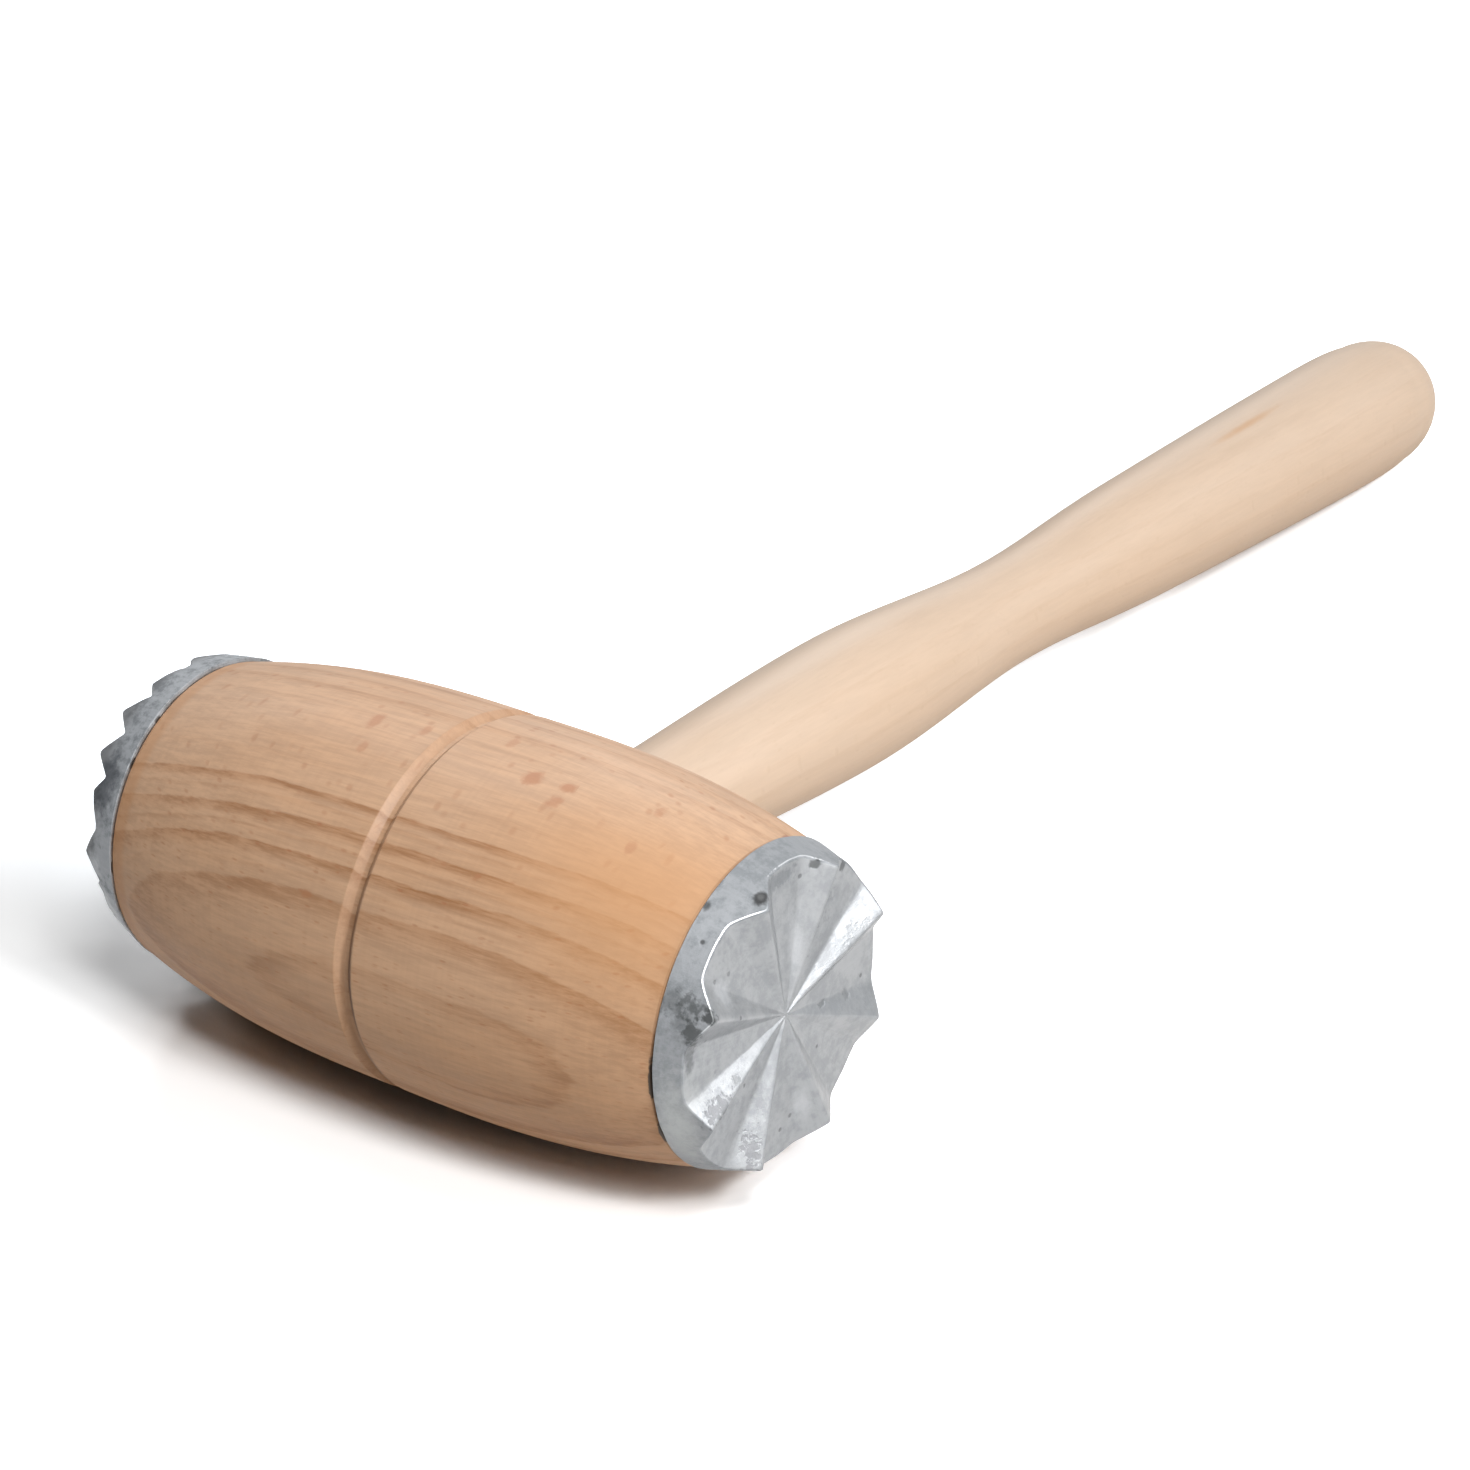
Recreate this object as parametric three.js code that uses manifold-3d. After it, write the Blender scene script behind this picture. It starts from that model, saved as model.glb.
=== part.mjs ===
// Meat tenderizer, the old kitchen kind: a turned beech barrel with a cast aluminium cap on each end and a
// turned handle in a blind socket. One cap is a star of ridges, the other a field of pyramid teeth.
// Millimetres, +Z up. It lies as it does on a table: on the belly of the barrel and the butt of the handle.
import * as THREE from 'three';
import { mergeVertices } from 'three/addons/utils/BufferGeometryUtils.js';
import Module from 'manifold-3d';

const wasm = await Module();
wasm.setup();

// Gaps between pieces that touch on the real object
const SEAT_GAP = 0.25;
const SOCKET_AIR = 0.6;

// How far a cutting body reaches past what it cuts
const CUT_CLEARANCE = 2;

// Barrel, turned about X
const BARREL_RADIUS = 27.5;
const SEAM_RADIUS = 22.65;
const WOOD_HALF_LENGTH = 47.5;
const BELLY_LAND = 5;
const BULGE_POWER = 2.4;
const GROOVE_WIDTH = 3;
const GROOVE_DEPTH = 1;
const GROOVE_FLOOR = 0.8;

// Peg cast on the back of each cap, with rings that bite into the glue
const PEG_RADIUS = 6;
const PEG_LENGTH = 16;
const PEG_RINGS = 4;
const PEG_RING_DEPTH = 0.6;
const PEG_RING_SLOPE = 0.8;
const PEG_NOSE = 1.2;

// Each cap stands a little proud of the wood all round, and the hollow in its back leaves a rim to seat on
const CAP_PROUD = 0.4;
const SEAT_RIM_WIDTH = 4;
const BACK_RELIEF = 1;

// Star cap: ridges rise from the centre to the rim, and the flat floors between them sink towards it
const STAR_RIDGES = 8;
const STAR_CENTRE_THICKNESS = 4.8;
const STAR_TIP_RISE = 2.45;
const STAR_FLOOR_SINK = 0.75;
const STAR_RIDGE_SPREAD = THREE.MathUtils.degToRad(12);

// Tooth cap: a square field of pyramids, turned against the handle and off centre as it was cast
const TOOTH_FLOOR_THICKNESS = 4;
const TOOTH_HEIGHT = 3.3;
const TOOTH_PITCH = 6.4;
const TOOTH_TIP_FLAT = 0.5;
const TOOTH_FIELD_TURN = THREE.MathUtils.degToRad(40);
const TOOTH_FIELD_SHIFT = new THREE.Vector2(2.7, 1.1);

// Handle, turned about Y and bored in a little off the middle of the barrel. Its length counts from the side
// of the barrel, and its thick and thin places are shares of that length
const HANDLE_OFF_MIDDLE = 0.9;
const HANDLE_LENGTH = 253.7;
const SWELL_SHARE = 0.2385;
const WAIST_SHARE = 0.4218;
const PALM_SHARE = 0.5952;
const GRIP_SHARE = 0.8731;
const BUTT_DOME_LENGTH = 15;
const TENON_RADIUS = 8;
const TENON_LENGTH = 34;
const TENON_CHAMFER = 1.5;
const NECK_RADIUS = 8.5;
const SWELL_RADIUS = 11.1;
const WAIST_RADIUS = 8.8;
const PALM_RADIUS = 10.9;
const GRIP_RADIUS = 12.8;
const BUTT_RADIUS = 12.3;

// Fineness of the round surfaces
const BARREL_FACETS = 64;
const HANDLE_FACETS = 40;
const BULGE_STEPS = 9;
const SKIRT_STEPS = 4;
const HANDLE_STEPS = 30;
const DOME_STEPS = 6;

const beech = new THREE.MeshStandardMaterial({ color: 0xc79a74, roughness: 0.62, metalness: 0 });
const paleBeech = new THREE.MeshStandardMaterial({ color: 0xead0b4, roughness: 0.6, metalness: 0 });
const castAluminium = new THREE.MeshStandardMaterial({ color: 0xb4b8bd, roughness: 0.42, metalness: 1 });

// Radius of the barrel's outside at a distance along its axis from its middle, caps included
function barrelRadius(along) {
  const past = Math.max(0, Math.abs(along) - BELLY_LAND);
  const share = past / (WOOD_HALF_LENGTH - BELLY_LAND);
  return BARREL_RADIUS - (BARREL_RADIUS - SEAM_RADIUS) * share ** BULGE_POWER;
}

// Evenly spaced numbers from one end to the other, both included
function spread(from, to, steps) {
  return Array.from({ length: steps + 1 }, (_, step) => THREE.MathUtils.lerp(from, to, step / steps));
}

// Round body about Y from [radius, height] pairs, with one facet centred on the angle given
function turned(outline, facets, facingAngle) {
  const points = outline.map(([radius, height]) => new THREE.Vector2(radius, height));
  return new THREE.LatheGeometry(points, facets, facingAngle - Math.PI / facets);
}

function toSolid(geometry) {
  const bare = geometry.index ? geometry.toNonIndexed() : geometry.clone();
  bare.deleteAttribute('normal');
  bare.deleteAttribute('uv');
  const merged = mergeVertices(bare, 1e-5);
  const triangles = [];
  for (let first = 0; first < merged.index.count; first += 3) {
    const corners = [0, 1, 2].map((corner) => merged.index.getX(first + corner));
    if (new Set(corners).size === 3) triangles.push(...corners);
  }
  const vertProperties = new Float32Array(merged.attributes.position.array);
  const triVerts = new Uint32Array(triangles);
  return new wasm.Manifold(new wasm.Mesh({ numProp: 3, vertProperties, triVerts }));
}

function toGeometry(solid) {
  const mesh = solid.getMesh();
  const geometry = new THREE.BufferGeometry();
  const corners = new Float32Array(mesh.triVerts.length * 3);
  mesh.triVerts.forEach((vertex, corner) => {
    corners.set(mesh.vertProperties.subarray(vertex * mesh.numProp, vertex * mesh.numProp + 3), corner * 3);
  });
  geometry.setAttribute('position', new THREE.BufferAttribute(corners, 3));
  geometry.computeVertexNormals();
  return geometry;
}

function part(name, geometry, material) {
  const mesh = new THREE.Mesh(geometry, material);
  mesh.name = name;
  return mesh;
}

// Handle outline: radius against distance from the barrel's side
function handleOutline() {
  const buttAt = HANDLE_LENGTH - BUTT_DOME_LENGTH;
  const shape = new THREE.SplineCurve([
    new THREE.Vector2(NECK_RADIUS, 0),
    new THREE.Vector2(SWELL_RADIUS, SWELL_SHARE * HANDLE_LENGTH),
    new THREE.Vector2(WAIST_RADIUS, WAIST_SHARE * HANDLE_LENGTH),
    new THREE.Vector2(PALM_RADIUS, PALM_SHARE * HANDLE_LENGTH),
    new THREE.Vector2(GRIP_RADIUS, GRIP_SHARE * HANDLE_LENGTH),
    new THREE.Vector2(BUTT_RADIUS, buttAt),
  ]);
  const tenon = [
    [0, -TENON_LENGTH],
    [TENON_RADIUS - TENON_CHAMFER, -TENON_LENGTH],
    [TENON_RADIUS, TENON_CHAMFER - TENON_LENGTH],
    [TENON_RADIUS, TENON_RADIUS - NECK_RADIUS - SEAT_GAP],
  ];
  const grip = shape.getPoints(HANDLE_STEPS).map((point) => [point.x, point.y]);
  const dome = spread(0, Math.PI / 2, DOME_STEPS).slice(1, -1).map((angle) => {
    return [BUTT_RADIUS * Math.cos(angle), buttAt + BUTT_DOME_LENGTH * Math.sin(angle)];
  });
  return [...tenon, ...grip, ...dome, [0, HANDLE_LENGTH]];
}

// Lean of the handle when the belly and the butt both touch the table
function restingLean() {
  const bellyHeight = BARREL_RADIUS * Math.cos(Math.PI / BARREL_FACETS);
  const leans = handleOutline().filter(([, along]) => along > 0).map(([radius, along]) => {
    const reach = BARREL_RADIUS + along;
    const flat = radius * Math.cos(Math.PI / HANDLE_FACETS);
    return Math.asin(bellyHeight / Math.hypot(reach, flat)) - Math.atan2(flat, reach);
  });
  return Math.min(...leans);
}

const lean = restingLean();

function headBarrel() {
  const boreRadius = PEG_RADIUS + SEAT_GAP;
  const boreFloor = WOOD_HALF_LENGTH - PEG_LENGTH - SOCKET_AIR;
  const bulgeSteps = spread(BELLY_LAND, WOOD_HALF_LENGTH, BULGE_STEPS);
  const upperHalf = [
    [BARREL_RADIUS - GROOVE_DEPTH, GROOVE_FLOOR / 2],
    [BARREL_RADIUS, GROOVE_WIDTH / 2],
    ...bulgeSteps.map((along) => [barrelRadius(along), along]),
    [boreRadius, WOOD_HALF_LENGTH],
    [boreRadius, boreFloor],
    [0, boreFloor],
  ];
  const lowerHalf = upperHalf.map(([radius, along]) => [radius, -along]).reverse();
  const body = turned([...lowerHalf, ...upperHalf], BARREL_FACETS, Math.PI + lean).rotateZ(-Math.PI / 2);

  const socketRadius = TENON_RADIUS + SEAT_GAP;
  const socketFloor = BARREL_RADIUS - TENON_LENGTH - SOCKET_AIR;
  const socketMouth = BARREL_RADIUS + CUT_CLEARANCE;
  const socket = turned([
    [0, socketFloor],
    [socketRadius, socketFloor],
    [socketRadius, BARREL_RADIUS - socketRadius / 2],
    [NECK_RADIUS + SEAT_GAP, BARREL_RADIUS - SEAT_GAP],
    [NECK_RADIUS + SEAT_GAP, socketMouth],
    [0, socketMouth],
  ], HANDLE_FACETS, Math.PI).translate(HANDLE_OFF_MIDDLE, 0, 0);
  return part('head_barrel', toGeometry(toSolid(body).subtract(toSolid(socket))), beech);
}

// Radius of a cap's skirt at a height above its seat on the wood
function skirtRadius(height) {
  return barrelRadius(WOOD_HALF_LENGTH + SEAT_GAP + height) + CAP_PROUD;
}

// Cap before its face is cut: Y points out of the barrel, and the seat on the wood is at Y = 0
function capBlank(height, facingAngle) {
  const rimRadius = SEAM_RADIUS + CAP_PROUD - SEAT_RIM_WIDTH;
  const blankHeight = height + CUT_CLEARANCE;
  const ringHeight = (PEG_LENGTH - PEG_NOSE) / PEG_RINGS;
  const peg = spread(PEG_NOSE - PEG_LENGTH, 0, PEG_RINGS).slice(0, -1).flatMap((foot) => [
    [PEG_RADIUS - PEG_RING_DEPTH, foot],
    [PEG_RADIUS, foot + ringHeight * PEG_RING_SLOPE],
  ]);
  const skirt = spread(0, blankHeight, SKIRT_STEPS).map((rise) => [skirtRadius(rise), rise]);
  return toSolid(turned([
    [0, -PEG_LENGTH],
    [PEG_RADIUS - PEG_RING_DEPTH - PEG_NOSE / 2, -PEG_LENGTH],
    ...peg,
    [PEG_RADIUS - PEG_RING_DEPTH, BACK_RELIEF],
    [rimRadius - BACK_RELIEF, BACK_RELIEF],
    [rimRadius, 0],
    ...skirt,
    [0, blankHeight],
  ], BARREL_FACETS, facingAngle));
}

// Everything above the star: flat floors and the two sides of each ridge, all planes through the centre
function starCutter() {
  const tipHeight = STAR_CENTRE_THICKNESS + STAR_TIP_RISE;
  const tipRadius = skirtRadius(tipHeight);
  const reach = BARREL_RADIUS;
  const top = tipHeight + 2 * CUT_CLEARANCE;
  const corner = (angle, change) => {
    const height = STAR_CENTRE_THICKNESS + change * reach / tipRadius;
    return [reach * Math.cos(angle), height, reach * Math.sin(angle)];
  };
  const rim = Array.from({ length: STAR_RIDGES }, (_, ridge) => {
    const crest = (2 * ridge + 1) * Math.PI / STAR_RIDGES;
    return [
      corner(crest - STAR_RIDGE_SPREAD, -STAR_FLOOR_SINK),
      corner(crest, STAR_TIP_RISE),
      corner(crest + STAR_RIDGE_SPREAD, -STAR_FLOOR_SINK),
    ];
  }).flat();
  const centre = [0, STAR_CENTRE_THICKNESS, 0];
  const lid = [0, top, 0];
  const triangles = rim.flatMap((here, edge) => {
    const next = rim[(edge + 1) % rim.length];
    const above = [here[0], top, here[2]];
    const nextAbove = [next[0], top, next[2]];
    return [centre, here, next, here, nextAbove, next, here, above, nextAbove, lid, nextAbove, above];
  });
  const cutter = new THREE.BufferGeometry();
  cutter.setAttribute('position', new THREE.Float32BufferAttribute(triangles.flat(), 3));
  return toSolid(cutter);
}

function starCap() {
  const tipHeight = STAR_CENTRE_THICKNESS + STAR_TIP_RISE;
  const blank = capBlank(tipHeight, Math.PI + lean);
  const cap = part('star_cap', toGeometry(blank.subtract(starCutter())), castAluminium);
  cap.rotation.z = -Math.PI / 2;
  cap.position.x = WOOD_HALF_LENGTH + SEAT_GAP;
  return cap;
}

// One V between two rows of teeth, along X, its bottom at Y = 0
function toothValley(length, tall) {
  const widening = (TOOTH_PITCH - TOOTH_TIP_FLAT) / 2 / TOOTH_HEIGHT;
  const section = new THREE.Shape([
    new THREE.Vector2(0, 0),
    new THREE.Vector2(tall * widening, tall),
    new THREE.Vector2(-tall * widening, tall),
  ]);
  const valley = new THREE.ExtrudeGeometry(section, { depth: length, bevelEnabled: false });
  return valley.translate(0, 0, -length / 2).rotateY(Math.PI / 2);
}

// Everything above the teeth: a slab over their tips and two crossing sets of valleys
function toothCutter() {
  const length = BARREL_RADIUS * 4;
  const tall = TOOTH_HEIGHT + CUT_CLEARANCE;
  const rows = Math.ceil(BARREL_RADIUS / TOOTH_PITCH) + 1;
  const slab = new THREE.BoxGeometry(length, 2 * CUT_CLEARANCE, length);
  slab.translate(0, TOOTH_FLOOR_THICKNESS + TOOTH_HEIGHT + CUT_CLEARANCE, 0);
  let cutter = toSolid(slab);
  for (const [quarterTurns, shift] of [[0, TOOTH_FIELD_SHIFT.y], [1, TOOTH_FIELD_SHIFT.x]]) {
    for (let row = -rows; row < rows; row += 1) {
      const valley = toothValley(length, tall);
      valley.translate(0, TOOTH_FLOOR_THICKNESS, (row + 0.5) * TOOTH_PITCH + shift);
      valley.rotateY(quarterTurns * Math.PI / 2 - TOOTH_FIELD_TURN);
      cutter = cutter.add(toSolid(valley));
    }
  }
  return cutter;
}

function toothCap() {
  const height = TOOTH_FLOOR_THICKNESS + TOOTH_HEIGHT;
  const blank = capBlank(height, Math.PI - lean);
  const cap = part('tooth_cap', toGeometry(blank.subtract(toothCutter())), castAluminium);
  cap.rotation.z = Math.PI / 2;
  cap.position.x = -WOOD_HALF_LENGTH - SEAT_GAP;
  return cap;
}

function handle() {
  const grip = part('handle', turned(handleOutline(), HANDLE_FACETS, Math.PI), paleBeech);
  grip.position.set(HANDLE_OFF_MIDDLE, BARREL_RADIUS, 0);
  return grip;
}

const mallet = new THREE.Group();
mallet.add(headBarrel(), starCap(), toothCap(), handle());
mallet.rotation.x = -lean;

// Stand the frame's origin under the middle of the object, on the table
const tenderizer = new THREE.Group();
tenderizer.add(mallet);
tenderizer.updateMatrixWorld(true);
const extent = new THREE.Box3().setFromObject(tenderizer, true);
const middle = extent.getCenter(new THREE.Vector3());
mallet.position.set(-middle.x, -middle.y, -extent.min.z);

export default tenderizer;
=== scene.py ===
"""Looks of an old kitchen meat tenderizer: a turned beech barrel, two cast aluminium caps and a pale handle.

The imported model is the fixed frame. Each piece is turned, carved or cut in metres where the frame has it,
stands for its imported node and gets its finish. The mallet lies on the barrel's belly and on the thick end
of its grip.
"""

import logging
import math
from dataclasses import dataclass, field
from enum import Enum
from functools import cache
from typing import Callable, NamedTuple

import bpy
import numpy as np
from mathutils import Matrix, Vector, noise


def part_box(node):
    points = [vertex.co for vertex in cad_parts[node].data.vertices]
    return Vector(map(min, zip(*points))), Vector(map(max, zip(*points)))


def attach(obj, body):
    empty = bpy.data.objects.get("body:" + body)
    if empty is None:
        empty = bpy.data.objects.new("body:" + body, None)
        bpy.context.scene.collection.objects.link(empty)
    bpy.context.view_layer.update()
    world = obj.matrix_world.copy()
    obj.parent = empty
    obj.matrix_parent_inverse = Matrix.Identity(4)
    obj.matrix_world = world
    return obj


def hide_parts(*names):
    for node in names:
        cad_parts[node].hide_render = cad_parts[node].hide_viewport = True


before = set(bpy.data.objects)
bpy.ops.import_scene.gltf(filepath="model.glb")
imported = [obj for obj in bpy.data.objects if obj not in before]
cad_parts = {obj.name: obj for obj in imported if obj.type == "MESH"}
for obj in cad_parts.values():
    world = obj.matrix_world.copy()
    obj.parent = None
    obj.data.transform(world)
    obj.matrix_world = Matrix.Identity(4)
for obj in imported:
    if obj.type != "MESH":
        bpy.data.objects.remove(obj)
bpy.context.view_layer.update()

MM = 0.001
WELD = 0.5e-6
WOOD_CREASE = 40
CAST_CREASE = 50
LOG = logging.getLogger("tenderizer")

Outline = list[tuple[float, float]]
Array = np.ndarray
Places = tuple[Array, Array]
Rule = Callable[[Array, Array, Array], Places]
Span = tuple[float, float]
Point = tuple[float, float, float]
Colour = tuple[float, float, float]
Socket = bpy.types.NodeSocket
Sockets = bpy.types.bpy_prop_collection
Feed = float | Point | Socket


def deselect() -> None:
    """Leaves object mode with nothing selected."""
    if bpy.context.object and bpy.context.object.mode != "OBJECT":
        bpy.ops.object.mode_set(mode="OBJECT")
    bpy.ops.object.select_all(action="DESELECT")


def smoothstep(low: float, high: float, value: Array) -> Array:
    """Rises softly from 0 at low to 1 at high."""
    share = np.clip((value - low) / (high - low), 0, 1)
    return share * share * (3 - 2 * share)


def arc(centre: tuple[float, float], radius: float, start: float, end: float, steps: int) -> Outline:
    """Points of a round stretch of an outline.

    Args:
        centre: Middle of the arc, as along and radius.
        radius: Radius of the arc.
        start: First angle in degrees, 0 along the axis and 90 away from it.
        end: Last angle in degrees.
        steps: Number of straight stretches.

    Returns:
        The points, both ends included.
    """
    angles = [math.radians(angle) for angle in stretch(start, end, steps)]
    return [(centre[0] + radius * math.cos(angle), centre[1] + radius * math.sin(angle)) for angle in angles]


def stretch(start: float, end: float, steps: int) -> list[float]:
    """Evenly spaced numbers from start to end, both included."""
    return [start + (end - start) * step / steps for step in range(steps + 1)]


@dataclass(frozen=True)
class Lathe:
    """A turning axis in the frame. Angles start at side and turn towards axis cross side."""

    origin: Vector
    axis: Vector
    side: Vector

    def point(self, along: float, radius: float) -> Vector:
        """Place of an outline's point in the frame."""
        return self.origin + self.axis * along + self.side * radius

    def spin(self, name: str, outline: Outline, steps: int) -> bpy.types.Object:
        """Draws an outline point by point and spins it into a closed body.

        Args:
            name: Name of the new piece.
            outline: Pairs of along and radius, with both ends on the axis.
            steps: Number of facets round the axis.

        Returns:
            The piece, with its object at the origin.
        """
        deselect()
        bpy.ops.mesh.primitive_plane_add(size=MM, location=self.point(*outline[0]))
        piece = bpy.context.active_object
        piece.name = piece.data.name = name
        bpy.ops.object.transform_apply(location=True, rotation=True, scale=True)
        bpy.ops.object.mode_set(mode="EDIT")
        bpy.ops.mesh.select_all(action="SELECT")
        bpy.ops.mesh.merge(type="CENTER")
        for here, there in zip(outline, outline[1:]):
            step = self.point(*there) - self.point(*here)
            bpy.ops.mesh.extrude_region_move(TRANSFORM_OT_translate={"value": step})
        bpy.ops.mesh.select_all(action="SELECT")
        bpy.ops.mesh.spin(steps=steps, angle=2 * math.pi, center=self.origin, axis=self.axis)
        bpy.ops.mesh.select_all(action="SELECT")
        bpy.ops.mesh.remove_doubles(threshold=WELD)
        bpy.ops.mesh.normals_make_consistent(inside=False)
        bpy.ops.object.mode_set(mode="OBJECT")
        return piece

    def carve(self, piece: bpy.types.Object, rule: Rule) -> None:
        """Moves every vertex of a piece by a rule on its place on the lathe.

        Args:
            piece: The piece to carve.
            rule: Gives new along and radius from along, radius and angle.
        """
        mesh = piece.data
        places = np.empty(len(mesh.vertices) * 3, np.float32)
        mesh.vertices.foreach_get("co", places)
        origin, axis, side = (np.array(v, float) for v in (self.origin, self.axis, self.side))
        across = np.cross(axis, side)
        off = places.reshape(-1, 3).astype(float) - origin
        radius = np.hypot(off @ side, off @ across)
        angle = np.arctan2(off @ across, off @ side)
        along, radius = rule(off @ axis, radius, angle)
        out = np.outer(np.cos(angle), side) + np.outer(np.sin(angle), across)
        places = origin + np.outer(along, axis) + out * radius[:, None]
        mesh.vertices.foreach_set("co", places.astype(np.float32).ravel())
        mesh.update()


def subtract(piece: bpy.types.Object, cutter: bpy.types.Object) -> None:
    """Cuts one closed body out of another and removes the cutter.

    Args:
        piece: The body that is cut.
        cutter: The body that is taken away.
    """
    deselect()
    bpy.context.view_layer.objects.active = piece
    cut = piece.modifiers.new("cut", "BOOLEAN")
    cut.operation = "DIFFERENCE"
    cut.solver = "EXACT"
    cut.object = cutter
    bpy.ops.object.modifier_apply(modifier=cut.name)
    bpy.data.objects.remove(cutter)


def smooth(piece: bpy.types.Object, crease: float) -> None:
    """Shades a piece smooth, except over its sharper edges.

    Args:
        piece: The piece to shade.
        crease: Angle in degrees above which an edge stays sharp.
    """
    deselect()
    piece.select_set(True)
    bpy.context.view_layer.objects.active = piece
    bpy.ops.object.shade_smooth_by_angle(angle=math.radians(crease))


def unevenness(along: Array, radius: Array, angle: Array, grain: float) -> Array:
    """Soft noise from -1 to 1 over a turned surface, with bumps about grain wide."""
    places = np.stack([along, radius * np.cos(angle), radius * np.sin(angle)], axis=1) / grain
    return np.array([noise.noise(Vector(place)) for place in places])


@dataclass(frozen=True)
class Stance:
    """How the mallet lies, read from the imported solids."""

    middle: Vector
    belly: float
    grip: Vector
    grip_origin: Vector

    @property
    def up(self) -> Vector:
        """Across the barrel and the handle, leaning with them."""
        return Vector((1, 0, 0)).cross(self.grip)

    @classmethod
    def read(cls) -> "Stance":
        """Measures the barrel's box and the handle's long axis.

        Returns:
            The stance, with the way of the grip running from the head to the butt.
        """
        low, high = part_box("head_barrel")
        middle = (low + high) / 2
        places = np.array([v.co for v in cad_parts["handle"].data.vertices], float)
        centre = places.mean(axis=0)
        _, _, ways = np.linalg.svd(places - centre, full_matrices=False)
        grip = Vector(ways[0]).normalized()
        if grip.y < 0:
            grip.negate()
        origin = Vector(centre) + grip * (middle - Vector(centre)).dot(grip)
        return cls(middle=middle, belly=(high.z - low.z) / 2, grip=grip, grip_origin=origin)


@dataclass
class BarrelShape:
    """The curve shared by the barrel's wood and the skirts of its caps."""

    belly: float
    seam: float = 22.65 * MM
    half_length: float = 47.5 * MM
    land: float = 5 * MM
    bulge_power: float = 2.4

    def radius(self, along: float | Array) -> float | Array:
        """Outer radius at a distance from the middle."""
        past = np.maximum(0.0, np.abs(along) - self.land) / (self.half_length - self.land)
        return self.belly - (self.belly - self.seam) * past**self.bulge_power


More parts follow.
